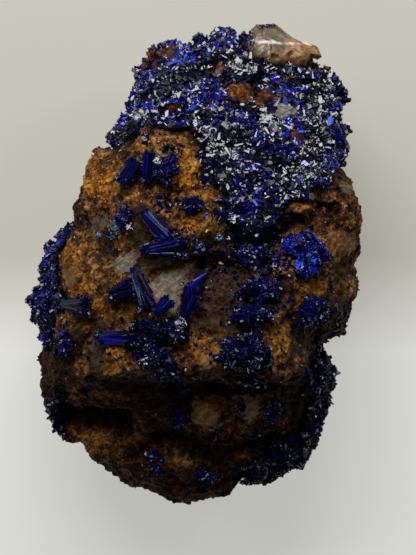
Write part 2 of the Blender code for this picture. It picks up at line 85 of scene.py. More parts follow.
def object_of(name, data):
    made = bpy.data.objects.new(name, data)
    bpy.context.collection.objects.link(made)
    return made


camera = object_of("camera", bpy.data.cameras.new("camera"))
aim = Vector((VIEW_CENTRE[0] + PLACE[0], VIEW_CENTRE[1] + PLACE[1], VIEW_LEVEL + CAMERA_DISTANCE))
camera.location = aim * MM
camera.data.sensor_width = SENSOR
camera.data.lens = SENSOR * CAMERA_DISTANCE / VIEW_HEIGHT
camera.data.clip_start, camera.data.clip_end = CLIPPED
bpy.context.scene.camera = camera

for name, spot, sides, watts in SOFT_BOXES:
    lamp = bpy.data.lights.new(name, "AREA")
    lamp.shape = "RECTANGLE"
    lamp.size, lamp.size_y = sides[0] * MM, sides[1] * MM
    lamp.energy = watts
    box = object_of(name, lamp)
    box.location = Vector(spot) * MM
    box.rotation_euler = (-Vector(spot)).to_track_quat("-Z", "Y").to_euler()
    box.visible_camera = False

bpy.context.scene.view_settings.view_transform = "Standard"
room = bpy.data.worlds.new("room")
bpy.context.scene.world = room
room.use_nodes = True
room.node_tree.nodes["Background"].inputs["Color"].default_value = ROOM_TINT
room.node_tree.nodes["Background"].inputs["Strength"].default_value = ROOM_GLOW


class Link:
    """A shader socket that sums, products and mixes are written with as if it were a number or a colour."""

    def __init__(self, tree, socket=None):
        self.tree = tree
        self.socket = socket

    def node(self, kind, settings=None, inputs=None, out=0):
        """Any node: its settings first, then the values or links of its sockets."""
        made = self.tree.nodes.new(kind)
        for name, value in (settings or {}).items():
            if name == "stops":
                ramp = made.color_ramp.elements
                while len(ramp) < len(value):
                    ramp.new(1.0)
                for stop, (position, colour) in zip(ramp, value):
                    stop.position = position
                    stop.color = (*colour, 1.0)
            else:
                setattr(made, name, value)
        for key, value in (inputs or {}).items():
            if isinstance(value, Link):
                self.tree.links.new(value.socket, made.inputs[key])
            else:
                made.inputs[key].default_value = value
        return Link(self.tree, made.outputs[out])

    def maths(self, operation, first, second):
        return self.node("ShaderNodeMath", {"operation": operation}, {0: first, 1: second})

    def __add__(self, other):
        return self.maths("ADD", self, other)

    def __radd__(self, other):
        return self.maths("ADD", other, self)

    def __sub__(self, other):
        return self.maths("SUBTRACT", self, other)

    def __rsub__(self, other):
        return self.maths("SUBTRACT", other, self)

    def __mul__(self, other):
        return self.maths("MULTIPLY", self, other)

    def clamp(self, low, high):
        """0 at low, 1 at high, and level beyond them."""
        return self.node("ShaderNodeMapRange", {}, {"Value": self, "From Min": low, "From Max": high})

    def mix(self, first, second):
        """Two colours mixed, all second where this link is 1."""
        inputs = {0: self, 6: first, 7: second}
        return self.node("ShaderNodeMix", {"data_type": "RGBA"}, inputs, out=2)

    def stops(self, *stops):
        return self.node("ShaderNodeValToRGB", {"stops": stops}, {0: self})


def new_material(name):
    """A material, a point's place in mm, and a function that sets or links a socket of its shader."""
    material = bpy.data.materials.new(name)
    material.use_nodes = True
    tree = material.node_tree
    shader = tree.nodes["Principled BSDF"]
    place = Link(tree).node("ShaderNodeTexCoord", out=3)
    place = place.node("ShaderNodeVectorMath", {"operation": "SCALE"}, {0: place, "Scale": 1 / MM})

    def feed(socket, value):
        if isinstance(value, Link):
            tree.links.new(value.socket, shader.inputs[socket])
        else:
            shader.inputs[socket].default_value = value

    return material, place, feed


floor_shape = bmesh.new()
bmesh.ops.create_grid(floor_shape, x_segments=1, y_segments=1, size=FLOOR_SIZE * MM / 2)
floor_mesh = bpy.data.meshes.new("floor")
floor_shape.to_mesh(floor_mesh)
floor_shape.free()
floor = object_of("floor", floor_mesh)
floor_finish, place, feed = new_material("floor_paper")
up_floor = place.node("ShaderNodeSeparateXYZ", {}, {0: place}, out=1)
feed("Base Color", FLOOR_TINT)
feed("Roughness", 0.9)
# Painted light: the floor glows by itself, brighter towards the foot.
feed("Emission Color", up_floor.clamp(*FLOOR_FADE).mix(FLOOR_NEAR, FLOOR_FAR))
feed("Emission Strength", FLOOR_GLOW)
floor_mesh.materials.append(floor_finish)
floor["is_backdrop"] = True

# ------------------------ the host rock
# One lump of quartz soaked with brown and orange iron oxides, broken on all sides. Its display face shows
# crumbly rust, thin layers along the lower ledges, and bare panes of cloudy grey quartz.
ROCK_VOXEL = 0.242
ROCK_LUMPS = (2.6, 0.34)  # size and height, in mm
ROCK_FACETS = (1.15, 0.42)
ROCK_CRUMBS = (0.5, 0.24)
ROCK_SINK, ROCK_RISE = 0.10, 0.35  # the broken surface lies this much lower, and stands no higher than this
LAYER_SPACING, LAYER_HEIGHT = 0.9, 0.14
LAYER_BAND = (-14.0, 3.5)  # y and half-width of the layered part
UNDER_CRUST = 1.3  # the rock stays plain this close to a coat, so that it keeps clear of it
COATED_SHARE = 0.15  # of its roughness is left there
JOIN_DISTANCE = 0.0005
FACE_FADE = (7.0, 3.0)  # the colours of the display face come in over this height, within this many mm
FACE_LEVEL, PANE_LEVEL = 12.0, 9.0  # heights over which the swells and the panes shape the rock

# Panes of the display face: how milky, how far sunk in mm, and the corners of each.
QUARTZ_PANES = [
    (0.85, 0.25, [(-5.7, -0.3), (-4.0, 0.7), (-1.5, 1.1), (-0.6, 0.9), (-1.4, 0.2), (-2.7, -0.4),
        (-4.8, -1.5)]),
    (0.85, 0.10, [(-4.7, -1.9), (-2.7, -0.6), (-0.8, 0.0), (0.1, -0.2), (-0.6, -1.6), (-1.3, -2.9),
        (-1.5, -4.6), (-2.3, -5.4), (-3.0, -4.5), (-4.0, -3.3)]),
    (0.85, 0.05, [(-7.4, 0.7), (-5.9, 1.3), (-4.8, 1.1), (-5.8, -0.3), (-6.4, -0.9), (-7.6, -1.1),
        (-8.6, -0.2)]),
    (0.25, 0.15, [(-6.8, 2.8), (-5.7, 3.2), (-4.4, 3.0), (-4.0, 2.4), (-4.9, 1.5), (-5.8, 1.4),
        (-6.8, 2.0)]),
    (0.60, 0.05, [(-10.5, 4.5), (-8.6, 4.9), (-8.2, 4.1), (-8.4, 3.4), (-9.5, 3.0), (-10.5, 3.2)]),
    (0.30, 0.20, [(-10.5, -6.2), (-9.2, -5.9), (-8.9, -8.5), (-9.2, -10.6), (-10.1, -10.8), (-10.6, -8.7)]),
    (1.00, -0.05, [(0.4, -9.2), (1.6, -9.0), (1.7, -10.6), (0.6, -10.7)]),
    (0.40, 0.00, [(13.4, 3.0), (14.8, 3.4), (15.7, 2.8), (16.3, 1.6), (15.4, 0.7), (14.3, 0.3),
        (13.6, 1.4)]),
    (0.75, 0.00, [(14.8, 8.1), (15.6, 8.1), (15.7, 6.9), (14.9, 6.8)]),
    (0.65, 0.00, [(7.7, -4.4), (9.3, -4.3), (9.3, -5.0), (8.3, -5.5), (7.6, -5.0)]),
    (0.85, -0.25, [(-0.3, -13.7), (1.2, -13.4), (2.4, -14.4), (2.7, -16.1), (0.9, -16.7), (-0.3, -15.8)]),
    (1.00, -0.25, [(4.0, -13.4), (5.2, -12.5), (6.6, -13.4), (6.7, -14.9), (5.5, -16.1), (4.5, -15.2)]),
    (0.80, 0.00, [(8.1, -10.8), (9.1, -10.7), (9.1, -11.3), (8.2, -11.4)]),
    (0.50, 0.00, [(-13.2, -0.6), (-12.0, -0.3), (-11.3, -1.6), (-11.8, -2.9), (-13.0, -2.6)]),
]
PANE_EDGE, PANE_RAGGED = 0.13, 0.5  # in mm
PANE_SLOPE, PANE_REACH = 0.3, 0.7  # width of the rim of a pane, and how far it may move the surface
PANE_SMOOTH = 0.85
PANE_SHADE = 0.45  # of the shade falls on the panes
PATCH_GRAIN, PANE_GRAIN = 0.9, 0.7  # size of the ragged bits of their edges, in mm
HALO = 0.9  # the rock carries painted shade this close to the crystal groups, in mm
HALO_SHARE, SLOT_SHADE = 0.75, 0.95  # how dark it and the slots get
# Patches of the display face: x, y, half-widths, and the turn in degrees of those that are turned.
OCHRE_PATCHES = [
    (-1.2, 8.6, 1.6, 2.6), (-2.4, 6.9, 1.4, 0.9), (2.4, 6.9, 1.1, 1.8), (0.4, 3.6, 2.0, 1.0),
    (11.6, -2.6, 2.0, 0.8), (8.4, -7.8, 0.9, 1.4), (0.3, -8.0, 2.2, 1.6), (-7.6, -9.6, 1.3, 1.4),
    (-11.4, -2.6, 1.4, 1.2), (-7.8, -4.5, 2.8, 1.5), (-9.6, 8.0, 1.6, 1.6), (1.6, -9.6, 2.0, 0.8),
    (2.6, -13.9, 0.9, 0.5), (4.4, -18.8, 0.8, 1.3), (-9.6, -18.0, 2.6, 1.2, -20), (9.6, 14.0, 0.8, 1.4),
    (14.6, 1.8, 1.6, 1.8), (-8.6, -13.0, 2.6, 0.6), (-12.6, 1.0, 1.4, 1.0), (-6.3, -6.0, 1.0, 0.7),
    (1.2, -15.0, 1.9, 2.0), (5.4, -14.2, 1.6, 2.0), (4.4, -16.6, 0.9, 2.0), (-12.4, -1.6, 1.2, 1.4),
]
# Black stains, partly painted shade in the band under the lower ledge and in the slot at the foot.
DARK_STAINS_AND_SHADE = [
    (2.6, -2.6, 2.4, 3.0), (6.2, 1.6, 3.0, 2.4, 15), (5.4, -1.4, 2.4, 1.2), (14.8, -5.0, 1.7, 2.4),
    (0.6, -3.4, 1.0, 1.8), (-4.5, -12.0, 7.0, 0.6), (-11.0, -15.4, 3.8, 1.0), (2.0, -18.6, 4.5, 1.0),
    (11.5, -14.0, 2.4, 3.4), (-15.0, -12.0, 1.4, 3.0), (3.6, -12.2, 4.0, 0.8), (3.0, -21.6, 5.6, 1.6),
    (1.4, -5.2, 2.2, 1.8), (1.6, 0.0, 2.6, 2.8), (8.4, -2.6, 1.6, 1.4), (11.0, -7.4, 1.6, 1.6),
    (3.6, -12.0, 3.0, 0.6), (-13.4, -10.0, 1.6, 2.6), (3.6, -20.4, 2.0, 1.0), (14.6, -1.0, 1.4, 1.1),
    (4.6, 3.0, 1.4, 1.6),
]
FACE_SWELLS = [
    # x, y, half-widths and height, in mm, of the rounded lumps of rust and the panes' own hollows
    (-10.9, -1.2, 2.0, 2.4, 0.4), (-3.0, -1.2, 3.4, 2.2, -0.5), (-9.6, -8.4, 0.9, 3.0, -0.35),
    (-12.0, 7.0, 2.0, 2.4, 0.4), (1.4, -9.4, 2.6, 1.6, 0.35), (14.6, 2.0, 1.4, 1.5, 0.4),
    (-0.8, 8.6, 1.4, 2.4, 0.3), (-11.2, -15.3, 3.4, 0.6, -1.3), (-7.0, -13.0, 4.0, 0.8, 0.5),
    (-6.0, -2.6, 1.6, 1.2, 0.3), (12.6, 4.0, 2.2, 0.9, 0.5), (1.2, -15.2, 1.6, 1.8, 0.5),
    (5.4, -14.4, 1.3, 1.8, 0.5),
]
SIDE_SWELL = (-15.0, -13.5, 2.5, 6.0, 0.45)  # the same for the bulge of the rock's left wall
SHADE_RAMPS = [(9.0, 14.0, 0.42), (-11.0, 1.6, 0.46)]  # y where each starts, the mm it takes, how dark
SHADED_SLOTS = [
    (-11.4, -15.3, 3.9, 0.8, -3), (-6.0, -11.9, 6.0, 0.45), (5.0, -12.3, 5.0, 0.7), (11.4, -13.0, 2.0, 2.4),
    (-1.0, -17.3, 3.0, 0.5, -8), (5.2, -21.0, 1.6, 0.9, 10), (3.0, -12.6, 2.0, 1.0),
    (7.5, 3.6, 3.4, 0.8, 15),
]


def node_copy(node):
    """A copy of a node's mesh in millimetres, its loose triangles joined."""
    shape = bmesh.new()
    shape.from_mesh(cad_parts[node].data)
    bmesh.ops.scale(shape, vec=(1 / MM, 1 / MM, 1 / MM), verts=shape.verts)
    bmesh.ops.remove_doubles(shape, verts=shape.verts, dist=JOIN_DISTANCE)
    return shape


def piece_from(name, shape, *materials):
    """Puts a bmesh in millimetres into the scene as a piece in metres."""
    bmesh.ops.scale(shape, vec=(MM, MM, MM), verts=shape.verts)
    mesh = bpy.data.meshes.new(name)
    shape.to_mesh(mesh)
    shape.free()
    for material in materials:
        mesh.materials.append(material)
    return object_of(name, mesh)


def refined(shape, voxel):
    """The same solid with an even skin of small faces."""
    draft = piece_from("draft", shape)
    skin = draft.modifiers.new("skin", "REMESH")
    skin.mode = "VOXEL"
    skin.voxel_size = voxel * MM
    fine = bmesh.new()
    fine.from_object(draft, bpy.context.evaluated_depsgraph_get())
    bpy.data.objects.remove(draft)
    bmesh.ops.scale(fine, vec=(1 / MM, 1 / MM, 1 / MM), verts=fine.verts)
    fine.normal_update()
    return fine


def inside_patches(points, patches, ragged=0.35, soft=0.35):
    """How far each point is inside any of the patches: 1 well inside, 0 outside, with ragged edges."""
    rough = np.array([noise.fractal(Vector(point) / PATCH_GRAIN, 0.8, 2.1, 3) for point in points])
    best = np.full(len(points), -1.0)
    for x, y, half_x, half_y, *turn in patches:
        across, along = (points[:, :2] - PLACE[:2] - (x, y)).T
        angle = math.radians(turn[0]) if turn else 0.0
        c, s = math.cos(angle), math.sin(angle)
        reach = np.hypot((across * c + along * s) / half_x, (along * c - across * s) / half_y)
        best = np.maximum(best, 1.0 - reach + ragged * rough)
    return np.clip(best / soft + 0.5, 0.0, 1.0)


def pane_depths(points):
    """How deep each point is inside each pane, in mm: more than 0 inside it, less outside."""
    ground = points[:, :2] - PLACE[:2]
    depths = []
    for _, _, corners in QUARTZ_PANES:
        ends = np.array(corners)
        nearest = np.full(len(points), 99.0)
        inside = np.zeros(len(points), bool)
        for (x0, y0), (x1, y1) in zip(ends, np.roll(ends, -1, axis=0)):
            side = np.array((x1 - x0, y1 - y0))
            along = np.clip((ground - (x0, y0)) @ side / (side @ side), 0.0, 1.0)
            nearest = np.minimum(nearest, np.linalg.norm(ground - (x0, y0) - along[:, None] * side, axis=1))
            crossed = (y0 > ground[:, 1]) != (y1 > ground[:, 1])
            rise = np.where(y1 == y0, 1.0, y1 - y0)
            inside ^= crossed & (ground[:, 0] < x0 + (ground[:, 1] - y0) / rise * (x1 - x0))
        depths.append(np.where(inside, nearest, -nearest))
    rough = np.array([noise.fractal(Vector(point) / PANE_GRAIN, 0.8, 2.1, 3) for point in points])
    return np.array(depths) + PANE_RAGGED * (rough - 0.1)


def tilted_chips(point, size):
    """Height of a broken surface made of small planes, each tilted its own way."""
    distances, centres = noise.voronoi(point / size)
    tilt = noise.cell_vector(centres[0] * 7.3) - Vector((0.5, 0.5, 0.5))
    return (point / size - centres[0]).dot(tilt) * 1.6 - 0.35 * distances[0]


def store_values(mesh, values):
    for name, stored in values.items():
        mesh.attributes.new(name, "FLOAT", "POINT").data.foreach_set("value", np.asarray(stored, np.float32))


group_shapes = bmesh.new()
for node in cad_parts:
    if node not in ("matrix", "quartz_top"):
        group_shapes.from_mesh(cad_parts[node].data)
bmesh.ops.scale(group_shapes, vec=(1 / MM, 1 / MM, 1 / MM), verts=group_shapes.verts)
group_tree = BVHTree.FromBMesh(group_shapes)
group_shapes.free()


def rock_values(points):
    """What the rock's finish reads at each point: quartz, its milk, ochre, black stains partly painted as
    shade, and painted shade.
    """
    face_up = np.clip((points[:, 2] - FACE_FADE[0]) / FACE_FADE[1], 0.0, 1.0)
    shade = SLOT_SHADE * inside_patches(points, SHADED_SLOTS, 0.3, 0.6)
    for level, fade, share in SHADE_RAMPS:
        shade = np.maximum(shade, share * np.clip((level - points[:, 1]) / fade, 0.0, 1.0))
    away = np.array([group_tree.find_nearest(Vector(point), HALO)[3] or HALO for point in points])
    depths = pane_depths(points)
    # Painted shade: the rock is darkened near the crystal groups, where their shadows fall.
    shade = np.maximum(shade, HALO_SHARE * (1.0 - away / HALO))
    shade *= np.where(depths.max(axis=0) > 0.0, PANE_SHADE, 1.0)
    milkiness = np.array([milk for milk, _, _ in QUARTZ_PANES])
    return {
        "quartz": np.clip(depths.max(axis=0) / PANE_EDGE + 0.5, 0.0, 1.0) * face_up,
        "milk": milkiness[depths.argmax(axis=0)],
        "ochre": inside_patches(points, OCHRE_PATCHES, 0.8) * face_up,
        "stain": inside_patches(points, DARK_STAINS_AND_SHADE, 0.6) * face_up,
        "shade": shade * (0.55 + 0.45 * face_up),
    }


rock_shape = refined(node_copy("matrix"), ROCK_VOXEL)
points = np.array([vert.co[:] for vert in rock_shape.verts])
values = rock_values(points)
layered = np.clip(1.0 - np.abs(points[:, 1] - LAYER_BAND[0]) / LAYER_BAND[1], 0.0, 1.0)
flat_rise = np.zeros(len(points))
for depth, (_, sink, _) in zip(pane_depths(points), QUARTZ_PANES):
    held = (depth > 0.0) & (points[:, 2] > PANE_LEVEL)
    plane = np.linalg.lstsq(np.c_[points[held, :2], np.ones(held.sum())], points[held, 2], rcond=None)[0]
    level = points[:, :2] @ plane[:2] + plane[2] - sink
    rise = np.clip(level - points[:, 2], -PANE_REACH, PANE_REACH)
    flat_rise += np.clip(depth / PANE_SLOPE + 0.5, 0.0, 1.0) * (points[:, 2] > PANE_LEVEL) * rise
bare = np.ones(len(points))
for node in ("azurite_crust_upper", "azurite_crust_left", "azurite_crust_lower_right", "quartz_top"):
    coat = node_copy(node)
    coat_tree = BVHTree.FromBMesh(coat)
    for index, vert in enumerate(rock_shape.verts):
        if coat_tree.find_nearest(vert.co, UNDER_CRUST)[0]:
            bare[index] = COATED_SHARE
    coat.free()
hollow = np.zeros(len(points))
for index, vert in enumerate(rock_shape.verts):
    place = vert.co
    lumps = noise.fractal(place / ROCK_LUMPS[0], 0.9, 2.0, 3) * ROCK_LUMPS[1]
    facets = tilted_chips(place, ROCK_FACETS[0]) * ROCK_FACETS[1]
    crumbs = tilted_chips(place, ROCK_CRUMBS[0]) * ROCK_CRUMBS[1]
    wave = place.y + 0.25 * place.x * math.sin(place.x * 0.2) + 0.6 * noise.noise(place / 3.0)
    ridges = LAYER_HEIGHT * layered[index] * math.sin(math.tau * wave / LAYER_SPACING)
    fine = (lumps + facets + crumbs + ridges) * (1.0 - PANE_SMOOTH * values["quartz"][index]) - ROCK_SINK
    across, along = place.x - PLACE[0], place.y - PLACE[1]
    swell = sum(
        height * math.exp(-(((across - x) / half_x) ** 2) - ((along - y) / half_y) ** 2)
        for x, y, half_x, half_y, height in (FACE_SWELLS if place.z > FACE_LEVEL else [SIDE_SWELL]))
    low = min(1.0, max(0.0, (place.z - 0.15) / 1.5))  # the resting side stays flat
    vert.co = place + vert.normal * (min(fine, ROCK_RISE) + swell) * low * bare[index]
    vert.co.z += flat_rise[index]
    # Painted shade: the hollows of the broken surface are darkened.
    hollow[index] = min(1.0, max(0.0, -2.2 * (facets + crumbs) - 0.10)) * (1.0 - values["quartz"][index])
values["hollow"] = hollow
values["tint"] = np.full(len(points), 0.5)


def speckle(place, scale, detail=5.0, rough=0.6, twist=0.0):
    inputs = {"Vector": place, "Scale": scale, "Detail": detail, "Roughness": rough, "Distortion": twist}
    return place.node("ShaderNodeTexNoise", {}, inputs)


def painted(place, name):
    """The value that each point of the mesh carries under this name."""
    return place.node("ShaderNodeAttribute", {"attribute_name": name}, out=2)


def bumped(height, strength, depth):
    inputs = {"Strength": strength, "Distance": depth * MM, "Height": height}
    return height.node("ShaderNodeBump", {}, inputs)


rock_finish, place, feed = new_material("rusty_quartz_rock")
grain = speckle(place, 2.2, 5.0, 0.7)
patchy = speckle(place, 0.33, 4.0, 0.6, 0.6)
rust = (grain + patchy * 0.9 - 0.45).stops(
    (0.36, (0.004, 0.0013, 0.0003)), (0.44, (0.022, 0.0065, 0.001)), (0.51, (0.085, 0.028, 0.0035)),
    (0.60, (0.185, 0.075, 0.012)), (0.74, (0.38, 0.22, 0.075)))
orange = (grain + patchy * 0.3 - 0.15).stops(
    (0.36, (0.022, 0.006, 0.0005)), (0.46, (0.13, 0.042, 0.002)), (0.56, (0.33, 0.125, 0.004)),
    (0.70, (0.50, 0.26, 0.03)))
streaks = place.node("ShaderNodeMapping", {"vector_type": "TEXTURE"}, {
    "Vector": place, "Rotation": (0.0, 0.0, 0.55), "Scale": (1.5, 0.45, 1.0)})
veil = speckle(streaks, 1.2, 6.0, 0.75) * 0.55 + speckle(place, 2.6, 6.0, 0.8) * 0.45
clouds = veil * 2.2 + painted(place, "milk") * 0.30 - 0.76
glass = clouds.stops(
    (0.30, (0.010, 0.006, 0.002)), (0.46, (0.036, 0.023, 0.010)), (0.62, (0.080, 0.060, 0.036)),
    (0.80, (0.18, 0.15, 0.105)))
amber = clouds.stops(
    (0.30, (0.018, 0.007, 0.001)), (0.46, (0.085, 0.036, 0.006)), (0.62, (0.20, 0.10, 0.022)),
    (0.80, (0.38, 0.24, 0.10)))
colour = (painted(place, "ochre") * 0.85).mix(rust, orange)
colour = painted(place, "quartz").mix(colour, (painted(place, "ochre") * 0.9).mix(glass, amber))
black_stain_and_shade = (grain + speckle(place, 1.3) * 0.4).stops(
    (0.50, (0.002, 0.0012, 0.0006)), (0.68, (0.011, 0.0045, 0.0014)), (0.84, (0.06, 0.024, 0.006)))
# Black stains, partly painted shade under the lower ledge and in the slot at the foot.
colour = (painted(place, "stain") * 0.9).mix(colour, black_stain_and_shade)
pale_grain = (painted(place, "tint") - 0.8).clamp(0.0, 0.35) * (1.0 - painted(place, "stain") * 0.7)
colour = pale_grain.mix(colour, (0.42, 0.25, 0.10, 1.0))
colour = (0.35 - painted(place, "tint")).clamp(0.0, 0.5).mix(colour, (0.008, 0.0035, 0.0012, 1.0))
# Painted shade in the rock's hollows, and the grit's random dark grains.
colour = (painted(place, "hollow") * 0.75).mix(colour, (0.006, 0.0025, 0.0008, 1.0))
colour = painted(place, "shade").mix(colour, (0.009, 0.0024, 0.0003, 1.0))
feed("Base Color", colour)
feed("Roughness", 0.7 - painted(place, "quartz") * 0.2)
feed("IOR", 1.54)
feed("Specular IOR Level", 0.12)
glitter = (painted(place, "tint") - 0.8).clamp(0.0, 0.15) * (1.0 - painted(place, "shade")) * 0.8
feed("Coat Weight", glitter + painted(place, "quartz") * 0.06)
feed("Coat Roughness", 0.2)
height = speckle(place, 1.6, 6.0, 0.7) * 0.5 + speckle(place, 5.0, 3.0, 0.6) * 0.25
height = height * (1.0 - painted(place, "quartz") * 0.85)
height = height + speckle(place, 3.2, 5.0, 0.8) * painted(place, "quartz") * 0.3
feed("Normal", bumped(height, 1.0, 0.30))

rock_tree = BVHTree.FromBMesh(rock_shape)
rock_skin = rock_shape.copy()
rock = piece_from("rock", rock_shape, rock_finish)
store_values(rock.data, values)
rock.data.shade_smooth()
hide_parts("matrix")
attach(rock, "root")

# ------------------------ the grit on the rock
# Crumbs of rust and quartz, a tenth to a third of a millimetre, that cover the rock's display face wherever
# no pane of quartz is bare, and specks of pale blue bloom. They grew there, and are one with the rock.
GRIT_COUNT = 8200
GRIT_SIZE = (0.13, 0.36)
ALONG_EDGES = 0.3  # an edge that climbs this much runs along a block
BLOOM_SPECKS = 22
BLOOM_SIZE = (0.08, 0.20)
BLUE_BLOOMS = [
    # x, y, half-width and half-height of each patch of pale blue specks
    (-8.1, 2.7, 0.6, 0.6), (-9.5, 2.7, 0.3, 0.2), (-7.8, 4.0, 0.35, 0.45), (-7.7, 3.4, 0.2, 0.3),
    (-1.0, 0.6, 0.3, 0.3), (2.4, 2.5, 0.25, 0.45), (1.2, 4.4, 0.15, 0.25), (-6.4, -0.9, 0.2, 0.2),
    (-6.5, -10.6, 0.15, 0.12), (11.2, 21.5, 0.3, 0.15),
]


def cut_block(end_wide, end_thin, slant, corner):
    """A block of unit size that stands on zero, with two of its long edges cut off if it has a corner."""
    shape = bmesh.new()
    bmesh.ops.create_cube(shape, size=1.0)
    bmesh.ops.translate(shape, vec=(0.0, 0.0, 0.5), verts=shape.verts)
    for vert in shape.verts:
        if vert.co.z > 0.5:
            vert.co.z -= slant * (0.5 + vert.co.x)
            vert.co.x *= end_wide
            vert.co.y *= end_thin
    if corner:
        cut = [edge for edge in shape.edges if abs(edge.verts[0].co.z - edge.verts[1].co.z) > ALONG_EDGES
               and edge.verts[0].co.x * edge.verts[0].co.y > 0.0]
        bmesh.ops.bevel(shape, geom=cut, offset=corner, affect="EDGES", segments=1, profile=0.5, material=-1)
    bmesh.ops.triangulate(shape, faces=shape.faces)
    verts = np.array([vert.co[:] for vert in shape.verts])
    faces = np.array([[vert.index for vert in face.verts] for face in shape.faces])
    shape.free()
    return verts, faces


MOULDS = [cut_block(*shape) for shape in (
    (0.60, 0.85, 0.30, 0.30), (0.90, 0.30, 0.05, 0.25), (0.40, 0.90, 0.15, 0.20), (0.95, 0.95, 0.40, 0.35),
    (0.75, 0.55, 0.0, 0.30))]
FINE_MOULDS = [cut_block(*shape) for shape in (
    (0.5, 0.9, 0.3, 0.0), (0.9, 0.25, 0.1, 0.0), (0.8, 0.8, 0.4, 0.0))]


def unit(vectors):
    return vectors / np.maximum(np.linalg.norm(vectors, axis=1), 1e-9)[:, None]


def surface_spots(shape, count, dice, wanted):
    """Places on a mesh, spread by area times how much each face is wanted, with the normals there."""
    bmesh.ops.triangulate(shape, faces=shape.faces)
    corners = np.array([[vert.co[:] for vert in face.verts] for face in shape.faces])
    cross = np.cross(corners[:, 1] - corners[:, 0], corners[:, 2] - corners[:, 0])
    area = np.linalg.norm(cross, axis=1)
    normals = cross / np.maximum(area, 1e-12)[:, None]
    weight = area * wanted(corners.mean(axis=1), normals)
    picked = dice.choice(len(corners), count, p=weight / weight.sum())
    a, b = dice.random((2, count, 1))
    a, b = np.where(a + b > 1, 1 - a, a), np.where(a + b > 1, 1 - b, b)
    tri = corners[picked]
    return tri[:, 0] + a * (tri[:, 1] - tri[:, 0]) + b * (tri[:, 2] - tri[:, 0]), normals[picked]


def blocks_piece(name, roots, axes, flats, sizes, values, dice, material, moulds=None):
    """A piece of many small blocks, each with its root, its long axis, its flat side and its three sizes."""
    turns = np.stack([np.cross(flats, axes), flats, axes], axis=2)
    moulds = moulds or MOULDS
    kind = dice.integers(0, len(moulds), len(roots))
    low, high = np.array(cad_box[0]) / MM + 0.02, np.array(cad_box[1]) / MM - 0.02
    low[2] = 0.05
    all_verts, all_faces, chosen_blocks, start_at = [], [], [], 0
    for index, (verts, faces) in enumerate(moulds):
        chosen = np.flatnonzero(kind == index)
        grown = np.einsum("nij,nvj->nvi", turns[chosen], verts[None] * sizes[chosen][:, None, :])
        grown += roots[chosen][:, None, :]
        held = np.all((grown > low) & (grown < high), axis=(1, 2))
        grown, chosen = grown[held], chosen[held]
        firsts = start_at + np.arange(len(chosen)) * len(verts)
        all_verts.append(grown.reshape(-1, 3))
        all_faces.append((firsts[:, None, None] + faces[None]).reshape(-1, 3))
        chosen_blocks.append(np.repeat(chosen, len(verts)))
        start_at += len(chosen) * len(verts)
    mesh = bpy.data.meshes.new(name)
    mesh.from_pydata((np.concatenate(all_verts) * MM).tolist(), [], np.concatenate(all_faces).tolist())
    owners = np.concatenate(chosen_blocks)
    store_values(mesh, {name: stored[owners] for name, stored in values.items()})
    mesh.materials.append(material)
    piece = object_of(name, mesh)
    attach(piece, "root")
    return piece


ABOVE, DOWN = 60.0, Vector((0.0, 0.0, -1.0))  # rays start this high over the floor


def drop_on(tree, spots_xy):
    """Where points of the display face's grid lie on a piece, with its normals there."""
    found, normals = [], []
    for x, y in spots_xy:
        hit, normal, _, _ = tree.ray_cast(Vector((x + PLACE[0], y + PLACE[1], ABOVE)), DOWN)
        if hit:
            found.append(hit[:])
            normals.append(normal[:])
    return np.array(found), np.array(normals)


def scattered_on(tree, patches, dice):
    """The same for spots strewn in soft patches, each with its x, y, half-widths and count."""
    return drop_on(tree, np.concatenate([
        dice.normal((x, y), (half_x * 0.5, half_y * 0.5), (count, 2))
        for x, y, half_x, half_y, count in patches]))


dice = np.random.default_rng(4)
spots, outward = surface_spots(
    rock_skin, GRIT_COUNT, dice,
    lambda centres, normals: (normals[:, 2] > 0.15) * (centres[:, 2] > 9.0))
rock_skin.free()
values = rock_values(spots)
kept = values["quartz"] < 0.4 + 0.6 * dice.random(GRIT_COUNT)
spots, outward = spots[kept], outward[kept]
values = {name: stored[kept] for name, stored in values.items()}
# Random dark grains of the grit, their own colour.
values["hollow"] = 0.55 * dice.random(len(spots)) ** 3
values["tint"] = dice.random(len(spots))
least, most = GRIT_SIZE
lengths = least + (most - least) * dice.random(len(spots)) ** 2.0
axes = unit(outward + 0.9 * dice.normal(size=spots.shape))
flats = unit(np.cross(axes, dice.normal(size=spots.shape)))
sizes = lengths[:, None] * dice.uniform((0.6, 0.5, 0.8), (1.0, 0.9, 1.2), spots.shape)
roots = spots - axes * 0.4 * lengths[:, None]
blocks_piece("grit", roots, axes, flats, sizes, values, dice, rock_finish)

bloom_finish, place, feed = new_material("pale_blue_bloom")
feed("Base Color", speckle(place, 1.7).stops((0.40, (0.03, 0.10, 0.28)), (0.60, (0.10, 0.30, 0.56))))
feed("Roughness", 0.6)
spots, outward = scattered_on(rock_tree, [(*patch, BLOOM_SPECKS) for patch in BLUE_BLOOMS], dice)
lengths = dice.uniform(*BLOOM_SIZE, len(spots))
axes = unit(outward + 0.6 * dice.normal(size=spots.shape))
flats = unit(np.cross(axes, dice.normal(size=spots.shape)))
sizes = lengths[:, None] * dice.uniform((0.8, 0.6, 0.6), (1.3, 1.0, 1.0), spots.shape)
roots = spots - axes * 0.3 * lengths[:, None]
blocks_piece("blue_bloom", roots, axes, flats, sizes, {}, dice, bloom_finish)

